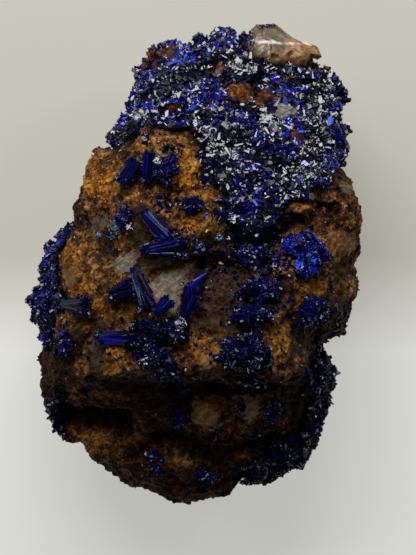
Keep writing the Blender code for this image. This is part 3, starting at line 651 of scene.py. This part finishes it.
# ------------------------ the quartz lump at the top
# Clear to cloudy quartz that stands out of the top edge, wet-looking on its worn faces and stained orange
# along its right side. It grew on the rock.
CAP_PROUD = 1.2  # how far the lump stands over the rock, in mm
CAP_TOP, CAP_BLUNT = 24.0, 0.8  # the lump is pressed by this share above this y
CAP_VOXEL, CAP_SMOOTHINGS = 0.16, 26
CAP_WAVES, CAP_FACETS = (1.8, 0.10), (2.2, 0.22)  # size and height, in mm
CAP_RISE = 0.12
RIM_HIGHLIGHT = (0.60, 0.56, 0.48, 1.0)
CAP_LUMPS = [
    # x, y and radius of the worn lumps that run together in it
    (6.6, 21.9, 1.4), (7.8, 21.8, 1.7), (6.7, 20.9, 1.2), (8.2, 20.3, 1.1), (9.2, 21.6, 1.6),
    (8.3, 20.9, 1.3), (10.6, 21.2, 1.4), (11.6, 20.7, 1.2), (10.2, 20.6, 1.2), (12.2, 20.3, 1.0),
    (7.4, 22.6, 1.1), (8.6, 22.4, 1.2), (9.8, 22.0, 1.1), (12.5, 20.2, 1.0),
]
RUSTY_SIDE = [(11.6, 21.0, 2.3, 1.4, -20), (12.4, 19.8, 1.2, 1.2), (9.0, 20.3, 2.0, 0.45, -8)]
# Thin lines painted pale as highlights along worn edges of the lump.
RIM_HIGHLIGHT_LINES = [(7.6, 21.9, 2.2, 0.16, -4), (10.6, 22.4, 1.0, 0.16, -35)]
cap_shape = node_copy("quartz_top")
lump_spots, lump_normals = drop_on(rock_tree, [(x, y) for x, y, _ in CAP_LUMPS])
for (_, _, radius), spot, outward in zip(CAP_LUMPS, lump_spots, lump_normals):
    middle = Vector(spot + outward * (CAP_PROUD - radius))
    lump = Matrix.Translation(middle) @ Matrix.Diagonal((radius, radius, radius, 1.0))
    bmesh.ops.create_icosphere(cap_shape, subdivisions=3, radius=1.0, matrix=lump)
cap_shape = refined(cap_shape, CAP_VOXEL)
for _ in range(CAP_SMOOTHINGS):
    bmesh.ops.smooth_vert(cap_shape, verts=cap_shape.verts, factor=0.5)
cap_shape.normal_update()
for vert in cap_shape.verts:
    spot = vert.co.copy()
    spot.y -= CAP_BLUNT * max(0.0, spot.y - CAP_TOP)
    rise = noise.fractal(spot / CAP_WAVES[0], 1.0, 2.0, 3) * CAP_WAVES[1]
    rise += tilted_chips(spot, CAP_FACETS[0]) * CAP_FACETS[1]
    vert.co = spot + vert.normal * min(rise, CAP_RISE)
cap_points = np.array([vert.co[:] for vert in cap_shape.verts])
cap_values = {
    "rusty": inside_patches(cap_points, RUSTY_SIDE, 0.5, 0.6),
    "rim": inside_patches(cap_points, RIM_HIGHLIGHT_LINES, 0.8, 0.9),
}
cap_finish, place, feed = new_material("cloudy_quartz")
clear = speckle(place, 0.8, 5.0, 0.55, 0.4)
milk = clear.stops(
    (0.34, (0.036, 0.023, 0.010)), (0.52, (0.080, 0.056, 0.027)), (0.70, (0.155, 0.120, 0.068)))
tan = speckle(place, 1.8, 6.0, 0.7).stops(
    (0.35, (0.04, 0.011, 0.002)), (0.5, (0.17, 0.062, 0.010)), (0.65, (0.35, 0.20, 0.07)))
worn = (painted(place, "rusty") * 0.9).mix(milk, tan)
# Painted highlight along the rim lines.
feed("Base Color", (painted(place, "rim") * 0.7).mix(worn, RIM_HIGHLIGHT))
feed("Roughness", 0.30 + painted(place, "rusty") * 0.2 + clear.clamp(0.5, 0.8) * 0.15)
feed("IOR", 1.54)
feed("Normal", bumped(speckle(place, 1.6, 5.0), 0.6, 0.2))
cap_tree = BVHTree.FromBMesh(cap_shape)
cap = piece_from("quartz_lump", cap_shape, cap_finish)
store_values(cap.data, cap_values)
cap.data.shade_smooth()
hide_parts("quartz_top")
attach(cap, "root")

# ------------------------ the azurite crusts
# A druse: thousands of tabular azurite crystals, a millimetre long and less, that grew over the rock in
# bunches with a common lean. Under them is a near-black navy bed that shows between the crystals, rusty where
# the crust has gaps.
CRUSTS = {
    # node: coarse crystals, fine ones, share of bunches flat to the light, brightest tone, dull and darker as
    # painted shade or not
    "azurite_crust_upper": (8200, 13500, 0.33, 1.0, False),
    "azurite_crust_left": (500, 7400, 0.04, 0.8, True),
    "azurite_crust_lower_right": (500, 10600, 0.02, 0.6, True),
}
COARSE_LENGTH = (0.32, 1.0)
FINE_LENGTH = (0.14, 0.44)
EDGE_SHORTENING, EDGE_SINK = 0.52, 0.08  # of the crystals that point sideways
BED_VOXEL, BED_SMOOTHINGS = 0.28, 2
BED_SWELLS = (1.7, 0.42, -0.12)  # size, height and middle level of its lumps, in mm
BUNCH_SIZE = 1.3  # crystals within about this distance lean the same way
CRUST_LEAN, CRUST_LOOSE = 0.9, 0.35  # how far a bunch leans, and how much its crystals differ
LIT_FACE = np.array((-0.07, 0.38, 0.92))  # the way a face points when it throws the key box's light upwards
CRUST_GAPS = [
    (12.2, 20.4, 2.2, 0.8, -15), (-3.9, 20.6, 2.0, 0.8, 25), (4.6, 16.6, 1.4, 1.0, -8),
    (6.6, 16.2, 1.4, 1.0, -20), (9.0, 14.8, 0.9, 1.1, -25), (9.8, 12.6, 0.6, 1.0, 30),
    (15.3, 8.1, 0.6, 1.0), (2.4, 19.2, 1.1, 0.6, 20), (11.4, 20.0, 0.5, 0.5), (-2.6, 15.1, 1.3, 0.4, 10),
    (11.4, 19.9, 1.6, 0.6, 20),
]
CLEAR_GAPS = [(9.0, 14.8, 0.9, 1.2, -25), (2.0, 18.4, 0.7, 0.5)]
GAP_DEPTH = 0.45  # how far the bed is sunk in the gaps, in mm
GAP_EMPTY = 0.93  # of the crystals are missing there
CRUST_FROST = [
    # patches whose crystals flash together: x, y, half-widths, turn
    (1.2, 10.7, 1.3, 0.7, 10), (4.4, 10.6, 2.4, 2.2, -20), (7.6, 13.0, 1.4, 1.6, -10),
    (12.2, 12.4, 1.2, 3.0, 8), (9.8, 8.2, 2.0, 1.2, -10), (5.2, 19.6, 1.0, 1.2), (1.2, 14.8, 0.6, 0.4),
    (11.4, 10.0, 1.6, 2.0), (12.2, 16.4, 1.2, 2.2), (2.6, 12.4, 2.6, 1.4, -10), (-5.4, 14.6, 0.8, 0.6),
    (-1.8, 16.6, 1.2, 0.5, 10),
]
CRUST_FROST_SHARE = 0.40
LAID_TONE, SHADED_TONE = 0.45, 0.75  # the share that laid ones keep, and that shaded ones lose
CRUST_SHADOWS = [
    (4.6, 18.1, 3.0, 0.7, -12), (5.0, 15.5, 2.6, 0.6, -10), (2.2, 8.2, 2.0, 1.1, -10),
    (7.4, 10.2, 1.8, 0.9, -25), (-2.3, 10.7, 0.8, 0.4, 10), (8.6, 5.2, 3.0, 0.5, 12), (5.0, 3.4, 1.6, 0.5),
    (-3.6, 16.6, 1.8, 0.6, 10), (9.6, 18.2, 1.8, 0.6, -20), (0.6, 14.4, 1.4, 0.6),
    (-1.0, 18.4, 3.0, 0.9, 15), (2.6, 20.4, 2.2, 0.6, 20), (-6.6, 12.8, 1.6, 0.8, 30),
    (3.4, 12.6, 1.6, 0.5, -15),
]


def bunch_values(spots, size, shift):
    """Three numbers from 0 to 1 for each spot, the same for all spots of a bunch."""
    return np.array([noise.cell_vector(Vector(spot) / size + Vector(shift)) for spot in spots])


def grow_crystals(name, spots, outward, lengths, tones, laid, dice, finish,
                  bunch, lean, loose, moulds=None):
    """A piece of crystals, each leaning with its bunch at its spot, some of them laid flat to the light."""
    count = len(spots)
    bunched = bunch_values(spots, bunch, (0, 0, 0)) - 0.5
    twisted = bunch_values(spots, bunch, (7, 3, 5)) - 0.5
    axes = unit(outward + lean * bunched * 2.0 + loose * dice.normal(size=(count, 3)))
    flats = unit(np.cross(axes, twisted * 2.0 + 0.5 * loose * dice.normal(size=(count, 3))))
    lit_flats = unit(LIT_FACE + 0.16 * dice.normal(size=(count, 3)))
    lit_axes = unit(np.cross(lit_flats, twisted + 0.3 * dice.normal(size=(count, 3))))
    axes, flats = np.where(laid[:, None], lit_axes, axes), np.where(laid[:, None], lit_flats, flats)
    sizes = lengths[:, None] * dice.uniform((0.55, 0.30, 0.8), (0.95, 0.60, 1.1), (count, 3))
    sizes[laid, 0] *= dice.uniform(0.4, 1.0, laid.sum())
    roots = spots - axes * np.where(laid, 0.5, 0.3)[:, None] * lengths[:, None]
    stored = {"tone": tones, "dull": dice.random(count) ** 2}
    return blocks_piece(name, roots, axes, flats, sizes, stored, dice, finish, moulds)


def crystal_material(name, shine):
    """Azurite, from nearly black to a light royal blue by each crystal's tone."""
    material, place, feed = new_material(name)
    cloud = speckle(place, 0.45, 3.0, 0.5)
    blue = (painted(place, "tone") * 0.8 + cloud * 0.4 - 0.12).stops(
        (0.18, (0.0006, 0.0007, 0.004)), (0.42, (0.0016, 0.0018, 0.024)), (0.62, (0.0028, 0.0030, 0.10)),
        (0.80, (0.005, 0.007, 0.33)), (0.98, (0.03, 0.09, 0.50)))
    feed("Base Color", blue)
    feed("Roughness", 0.09 + cloud.clamp(0.4, 0.6) * 0.10 + painted(place, "dull") * 0.14)
    feed("IOR", 1.60)
    feed("Specular IOR Level", shine)
    feed("Normal", bumped(speckle(place, 4.0, 2.0), 0.3, 0.05))
    return material


bright_crystal = crystal_material("azurite_crystal", 0.5)
# A copy that reflects less: partly duller crystals, partly painted shade that keeps the crusts and groups it
# clothes darker than the lit upper crust.
dull_shaded_crystal = crystal_material("dull_azurite_crystal", 0.22)
lath_crystal = crystal_material("azurite_lath", 0.12)
core_crystal = crystal_material("azurite_core", 0.04)

bed_finish, place, feed = new_material("azurite_bed")
grain = speckle(place, 2.3, 6.0, 0.75)
rust = (grain + speckle(place, 0.4) * 0.4 - 0.2).stops(
    (0.36, (0.004, 0.0013, 0.0006)), (0.47, (0.030, 0.008, 0.001)), (0.57, (0.12, 0.034, 0.004)),
    (0.70, (0.28, 0.13, 0.035)))
milk = grain.stops((0.36, (0.03, 0.028, 0.024)), (0.52, (0.12, 0.112, 0.095)), (0.64, (0.36, 0.35, 0.32)))
navy = grain.stops((0.40, (0.001, 0.001, 0.006)), (0.62, (0.003, 0.003, 0.04)))
feed("Base Color", painted(place, "bare").mix(navy, painted(place, "clear").mix(rust, milk)))
feed("Roughness", 0.45 + painted(place, "bare") * 0.4 - painted(place, "clear") * 0.3)
feed("Specular IOR Level", 0.15)
feed("Normal", bumped(speckle(place, 1.6, 6.0, 0.7), 1.0, 0.3))


for seed, (node, (coarse, fine, laid_share, brightest, dull)) in enumerate(CRUSTS.items()):
    dice = np.random.default_rng(seed)
    name = node.replace("azurite_", "")
    bed_shape = refined(node_copy(node), BED_VOXEL)
    for _ in range(BED_SMOOTHINGS):
        bmesh.ops.smooth_vert(bed_shape, verts=bed_shape.verts, factor=0.5)
    bed_shape.normal_update()
    size, height, level = BED_SWELLS
    for vert in bed_shape.verts:
        vert.co += vert.normal * (height * noise.fractal(vert.co / size, 0.9, 2.0, 3) + level)
    bed_shape.normal_update()
    bed_points = np.array([vert.co[:] for vert in bed_shape.verts])
    bed_values = {
        "bare": inside_patches(bed_points, CRUST_GAPS, 0.8),
        "clear": inside_patches(bed_points, CLEAR_GAPS, 0.6),
    }
    for vert, open_share in zip(bed_shape.verts, bed_values["bare"]):
        vert.co -= vert.normal * GAP_DEPTH * open_share

    def wanted(centres, normals):
        outwards = np.einsum("ij,ij->i", normals, unit(centres - (0.0, 0.0, 9.0)))
        return (outwards > -0.1) * (1.0 - GAP_EMPTY * inside_patches(centres, CRUST_GAPS, 0.8))

    for kind, crystals, (least, most), moulds in (
            ("_crystals", coarse, COARSE_LENGTH, MOULDS), ("_fines", fine, FINE_LENGTH, FINE_MOULDS)):
        spots, outward = surface_spots(bed_shape, crystals, dice, wanted)
        lengths = least + (most - least) * dice.random(crystals) ** 2.4
        sideways = 1.0 - np.clip(outward[:, 2] / 0.55, 0.0, 1.0)
        lengths *= 1.0 - EDGE_SHORTENING * sideways
        spots -= outward * EDGE_SINK * sideways[:, None]
        shaded = inside_patches(spots, CRUST_SHADOWS)
        frosted = inside_patches(spots, CRUST_FROST)
        tones = 0.65 * dice.random(crystals) + 0.35 * bunch_values(spots, 0.9, (1, 9, 4))[:, 0]
        tones *= brightest * (1.0 - SHADED_TONE * shaded)
        tones *= 0.86 + 0.4 * bunch_values(spots, 2.4, (3, 1, 6))[:, 0]
        share = laid_share * (1.0 - shaded) + CRUST_FROST_SHARE * frosted
        laid = dice.random(crystals) * 0.45 + bunch_values(spots, 1.0, (5, 2, 8))[:, 0] * 0.55 < share
        tones[laid] *= LAID_TONE
        finish = dull_shaded_crystal if dull else bright_crystal
        grow_crystals(name + kind, spots, outward, lengths, tones, laid, dice, finish,
                      BUNCH_SIZE, CRUST_LEAN, CRUST_LOOSE, moulds)
    bed = piece_from(name + "_bed", bed_shape, bed_finish)
    store_values(bed.data, bed_values)
    bed.data.shade_smooth()
    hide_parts(node)
    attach(bed, "root")

# ------------------------ the stray crystals
# Small azurite crystals scattered on the bare rock, thick beside the crusts and round the crystal groups,
# where they run the groups together. Each grew from the rock.
STRAYS = [
    # x, y, half-widths, crystals
    (-8.4, 12.2, 1.4, 1.2, 110), (-5.2, 12.6, 2.0, 0.7, 90), (-2.0, 11.0, 1.4, 0.7, 60),
    (6.0, 1.2, 2.9, 2.2, 520), (6.2, -4.6, 2.4, 1.6, 260), (5.6, -12.2, 1.8, 1.2, 120),
    (-4.2, -7.6, 3.2, 2.2, 300), (-1.6, -12.8, 1.2, 2.4, 260), (8.6, -18.6, 2.6, 2.2, 460),
    (4.6, -14.4, 0.35, 1.1, 60), (-13.9, -2.6, 0.9, 3.2, 260), (-13.2, -8.2, 1.0, 1.6, 170),
    (-14.4, -14.8, 0.7, 1.2, 90), (12.6, -11.6, 1.4, 4.4, 520), (-6.9, 4.2, 0.9, 1.3, 80),
    (-3.2, 9.0, 1.4, 1.6, 110), (-2.6, 6.0, 1.8, 1.0, 110), (-0.1, 5.4, 1.3, 0.7, 80),
    (3.2, 4.4, 1.2, 0.8, 130), (13.6, -2.6, 0.7, 0.9, 30), (-1.2, 2.4, 1.6, 1.0, 60),
    (-6.0, -2.2, 1.6, 1.6, 50), (8.2, -0.4, 1.6, 0.8, 110), (1.9, -17.0, 0.5, 0.7, 40),
    (0.8, -21.2, 0.8, 0.9, 45), (-7.2, -16.2, 1.4, 0.8, 45), (5.0, -9.0, 3.2, 2.4, 160),
    (10.8, 0.6, 2.8, 2.4, 120), (0.2, -3.0, 1.6, 2.2, 60), (5.2, -20.8, 1.6, 1.4, 120),
    (5.6, -3.0, 2.2, 1.0, 160), (5.3, -5.6, 2.2, 1.2, 200), (-13.9, -16.4, 0.8, 1.4, 260),
    (-13.4, -14.0, 1.0, 0.6, 120), (2.6, -0.6, 2.4, 2.4, 120), (14.6, -6.0, 1.2, 1.6, 60),
    (3.4, 4.6, 1.6, 0.8, 160),
]
FRINGE = [
    (9.0, 19.4, 4.4, 0.9, 520), (4.8, 20.6, 0.9, 1.6, 200), (12.9, 19.4, 0.9, 1.4, 120),
    (1.3, 10.4, 0.9, 2.2, 420), (2.5, 8.6, 1.1, 0.8, 200), (4.3, 5.9, 1.5, 1.7, 320),
    (6.3, 2.6, 3.0, 1.4, 360), (4.9, 22.0, 0.9, 1.3, 240),
]
CAP_RIM = [(7.2, 23.6, 1.6, 0.3, 190), (5.6, 22.6, 0.4, 1.2, 130), (9.8, 22.9, 0.9, 0.2, 30)]
STRAY_LENGTH = (0.14, 0.60)
STRAY_TONE = 0.55
for name, tree, patches, longer, laid_share, finish in (
        ("stray_crystals", rock_tree, STRAYS, 1.0, 0.04, dull_shaded_crystal),
        ("fringe_crystals", rock_tree, FRINGE, 1.5, 0.16, bright_crystal),
        ("cap_crystals", cap_tree, CAP_RIM, 0.6, 0.1, bright_crystal)):
    dice = np.random.default_rng(11)
    spots, outward = scattered_on(tree, patches, dice)
    least, most = STRAY_LENGTH
    lengths = least + (most - least) * dice.random(len(spots)) ** 2.2
    tones = STRAY_TONE * dice.random(len(spots))
    laid = dice.random(len(spots)) < laid_share
    grow_crystals(name, spots, outward, lengths * longer, tones, laid, dice, finish,
                  0.8, 0.7, 0.5, FINE_MOULDS)

# ------------------------ the standing crystal groups
# Rosettes and sprays of larger blades, each grown from one root on the rock and one to two millimetres proud.
# A rosette is rounded and covered with short crystals, and a spray is a sheaf of long striated laths.
SHEAVES = {
    # group: x, y, heading in degrees, length, width, laths, fan in degrees
    "crystal_upper_left": [(-6.4, 9.0, 60, 1.9, 1.3, 8, 10)],
    "cluster_upper": [(-4.6, 9.4, 84, 3.0, 0.8, 8, 10)],
    "spray_centre": [(-3.7, 3.5, -48, 4.1, 1.4, 20, 20), (-3.0, 1.3, 8, 4.2, 1.2, 16, 18)],
    "spray_left": [(-5.2, -2.7, -70, 4.5, 1.4, 18, 16), (-7.0, -2.9, 20, 2.3, 1.4, 14, 40)],
    "blade_lower": [(-3.0, -4.3, 45, 2.0, 1.0, 10, 14)],
    "spray_right": [(-0.6, -3.9, 76, 3.2, 1.0, 13, 12), (0.4, -1.8, 34, 2.5, 0.9, 11, 14)],
    "cluster_lower": [(-7.6, -7.5, 2, 3.6, 1.3, 14, 10)],
    "finger_left": [(-12.0, -4.2, -4, 2.9, 1.1, 12, 14)],
}
LATH_TONES = {
    "spray_centre": 0.52, "blade_lower": 0.5, "cluster_lower": 0.46, "crystal_upper_left": 0.38,
    "cluster_upper": 0.38, "spray_left": 0.34, "finger_left": 0.36,
}
ROSETTE_TONES = {"rosette_right": 1.4, "rosette_lower": 0.75, "cluster_lower": 0.75, "tuft_middle": 0.8}
CORE_TONE = 0.3
HEARTS = {
    # x, y of the points from which a group's blades radiate, where it has more than one
    "cluster_lower": [(-4.7, -7.0), (-1.8, -6.6), (-4.3, -9.3), (-2.6, -10.5)],
}
BLADE_SHARE = 0.45  # of a group's crystals are thin blades that radiate from its heart
BLADE_SIZES = ((0.12, 0.05, 0.45), (0.26, 0.11, 1.05))
GLINT_LENGTH = (0.25, 0.7)
BRIGHT_FACES = [
    # patches whose crystals lie flat to the light: x, y, half-widths, turn
    (-3.6, 9.9, 0.3, 0.3), (-2.6, 6.7, 0.4, 0.35), (-6.2, 3.3, 0.3, 0.3), (0.7, 1.5, 0.3, 0.3),
    (6.6, -0.6, 0.6, 0.25, 10), (-1.3, -6.1, 0.6, 0.7), (-4.6, -9.6, 0.9, 0.25, 5),
    (5.1, -4.1, 0.3, 0.25, -30), (6.4, -6.5, 0.4, 0.15, -20), (4.0, -6.9, 0.25, 0.2),
]
PALE_FACES = [(10.9, -0.4, 1.4, 1.3), (3.0, 4.4, 1.0, 0.6)]
ROSETTE_CRYSTALS = 26.0  # for each square millimetre of the CAD rosette
ROSETTE_LENGTH = (0.14, 0.50)
ROSETTE_LAID = 0.02  # of the short crystals lie flat to the light
LATH_THICKNESS = (0.16, 0.34)
LATH_STRAY = 7.0  # degrees that a lath may turn from its place in the fan
LATH_ROOT, LATH_TIP = 0.12, (-0.1, 0.2)  # how deep its foot is and how high its tip stands, in mm
LATH_TURN = (-0.2, 0.65)  # in radians: most turn their flat side from the key box

glints = []
for seed, node in enumerate(sorted(set(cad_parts) - set(CRUSTS) - {"matrix", "quartz_top"}), start=20):
    dice = np.random.default_rng(seed)
    name = node.replace("azurite_", "")
    core = node_copy(node)
    core_tree = BVHTree.FromBMesh(core)
    roots, axes, flats, sizes = [], [], [], []
    for x, y, heading, length, width, laths, fan in SHEAVES.get(name, []):
        for lath in range(laths):
            share = (lath + 0.5) / laths - 0.5 + dice.uniform(-0.08, 0.08)
            angle = math.radians(heading + fan * share + dice.uniform(-LATH_STRAY, LATH_STRAY))
            run = Vector((math.cos(angle), math.sin(angle), 0.0))
            middle = Vector((x + PLACE[0], y + PLACE[1], ABOVE))
            middle += Vector((-run.y, run.x, 0.0)) * share * width
            ends = []
            for reach in (-0.5, 0.45):
                above = middle + run * length * reach * dice.uniform(0.7, 1.0) * (1.0 - 1.6 * share * share)
                hits = [tree.ray_cast(above, DOWN)[0] for tree in (core_tree, rock_tree)]
                ends.append(max((hit for hit in hits if hit), key=lambda hit: hit.z))
            foot = ends[0] - Vector((0.0, 0.0, LATH_ROOT))
            tip = ends[1] + Vector((0.0, 0.0, dice.uniform(*LATH_TIP)))
            axis = (tip - foot).normalized()
            side = axis.cross(Vector((0.0, 0.0, 1.0))).normalized()
            turn = dice.uniform(*LATH_TURN) * math.copysign(1.0, side.y)
            flat = (axis.cross(side) * math.cos(turn) + side * math.sin(turn)).normalized()
            roots.append(foot[:])
            axes.append(axis[:])
            flats.append(flat[:])
            sizes.append((width * 1.5 / laths + 0.14, dice.uniform(*LATH_THICKNESS), (tip - foot).length))
    if roots:
        tones = LATH_TONES.get(name, 0.5) + dice.uniform(-0.25, 0.25, len(roots))
        stored = {"tone": np.clip(tones, 0.0, 1.0), "dull": dice.uniform(0.2, 0.9, len(roots))}
        roots, axes, flats, sizes = (np.array(rows) for rows in (roots, axes, flats, sizes))
        blocks_piece(name + "_laths", roots, axes, flats, sizes, stored, dice, lath_crystal)
    sheaves = [(x, y, length * 0.55, width * 0.6, heading)
               for x, y, heading, length, width, _, _ in SHEAVES.get(name, [])]
    area = sum(face.calc_area() for face in core.faces)
    middle = np.array([vert.co[:] for vert in core.verts]).mean(axis=0)
    count = int(ROSETTE_CRYSTALS * area)
    spots, outward = surface_spots(core.copy(), count, dice, lambda centres, normals: normals[:, 2] > -0.4)
    if sheaves:
        clear = inside_patches(spots, sheaves, 0.1) < 0.5
        spots, outward = spots[clear], outward[clear]
    if len(spots):
        hearts = [(x + PLACE[0], y + PLACE[1], middle[2]) for x, y in HEARTS.get(name, [])] or [middle]
        nearest = np.argmin([np.hypot(*(spots - heart)[:, :2].T) for heart in hearts], axis=0)
        from_heart = spots - np.array(hearts)[nearest]
        tones = 0.15 + 0.55 * dice.random(len(spots))
        tones += 0.8 * inside_patches(spots, PALE_FACES) * dice.random(len(spots))
        tones *= ROSETTE_TONES.get(name, 1.0)
        bright = inside_patches(spots, BRIGHT_FACES, 0.2) > 0.7 * dice.random(len(spots)) + 0.3
        glints.append(spots[bright])
        blade = dice.random(len(spots)) < BLADE_SHARE
        druse = ~blade
        least, most = ROSETTE_LENGTH
        lengths = least + (most - least) * dice.random(druse.sum()) ** 2.0
        leans = unit(outward + unit(from_heart + (0.0, 0.0, 0.6)))
        laid = dice.random(druse.sum()) < ROSETTE_LAID
        grow_crystals(name + "_druse", spots[druse], leans[druse], lengths, tones[druse], laid, dice,
                      dull_shaded_crystal, 0.9, 0.5, 0.4, FINE_MOULDS)
        axes = unit(from_heart * (1.0, 1.0, 0.4)) + 0.35 * outward + 0.16 * dice.normal(size=spots.shape)
        axes = unit(axes)[blade]
        sizes = dice.uniform(*BLADE_SIZES, axes.shape)
        stored = {"tone": tones[blade], "dull": dice.random(blade.sum())}
        roots = spots[blade] - axes * sizes[:, 2:] * 0.75
        flats = unit(np.cross(axes, dice.normal(size=axes.shape)))
        blocks_piece(name + "_blades", roots, axes, flats, sizes, stored, dice, dull_shaded_crystal,
                     FINE_MOULDS)
    piece = piece_from(name, core, core_crystal)
    store_values(piece.data, {"tone": np.full(len(piece.data.vertices), CORE_TONE)})
    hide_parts(node)
    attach(piece, "root")

spots = np.concatenate(glints)
lengths = dice.uniform(*GLINT_LENGTH, len(spots))
laid = np.ones(len(spots), bool)
upward = np.tile(LIT_FACE, (len(spots), 1))
tones = 0.4 * dice.random(len(spots))
grow_crystals("bright_crystals", spots, upward, lengths, tones, laid, dice, bright_crystal,
              0.6, 0.5, 0.4)

sizes = {"cad": [list(corner) for corner in cad_box], "visual": [list(corner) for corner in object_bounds()]}
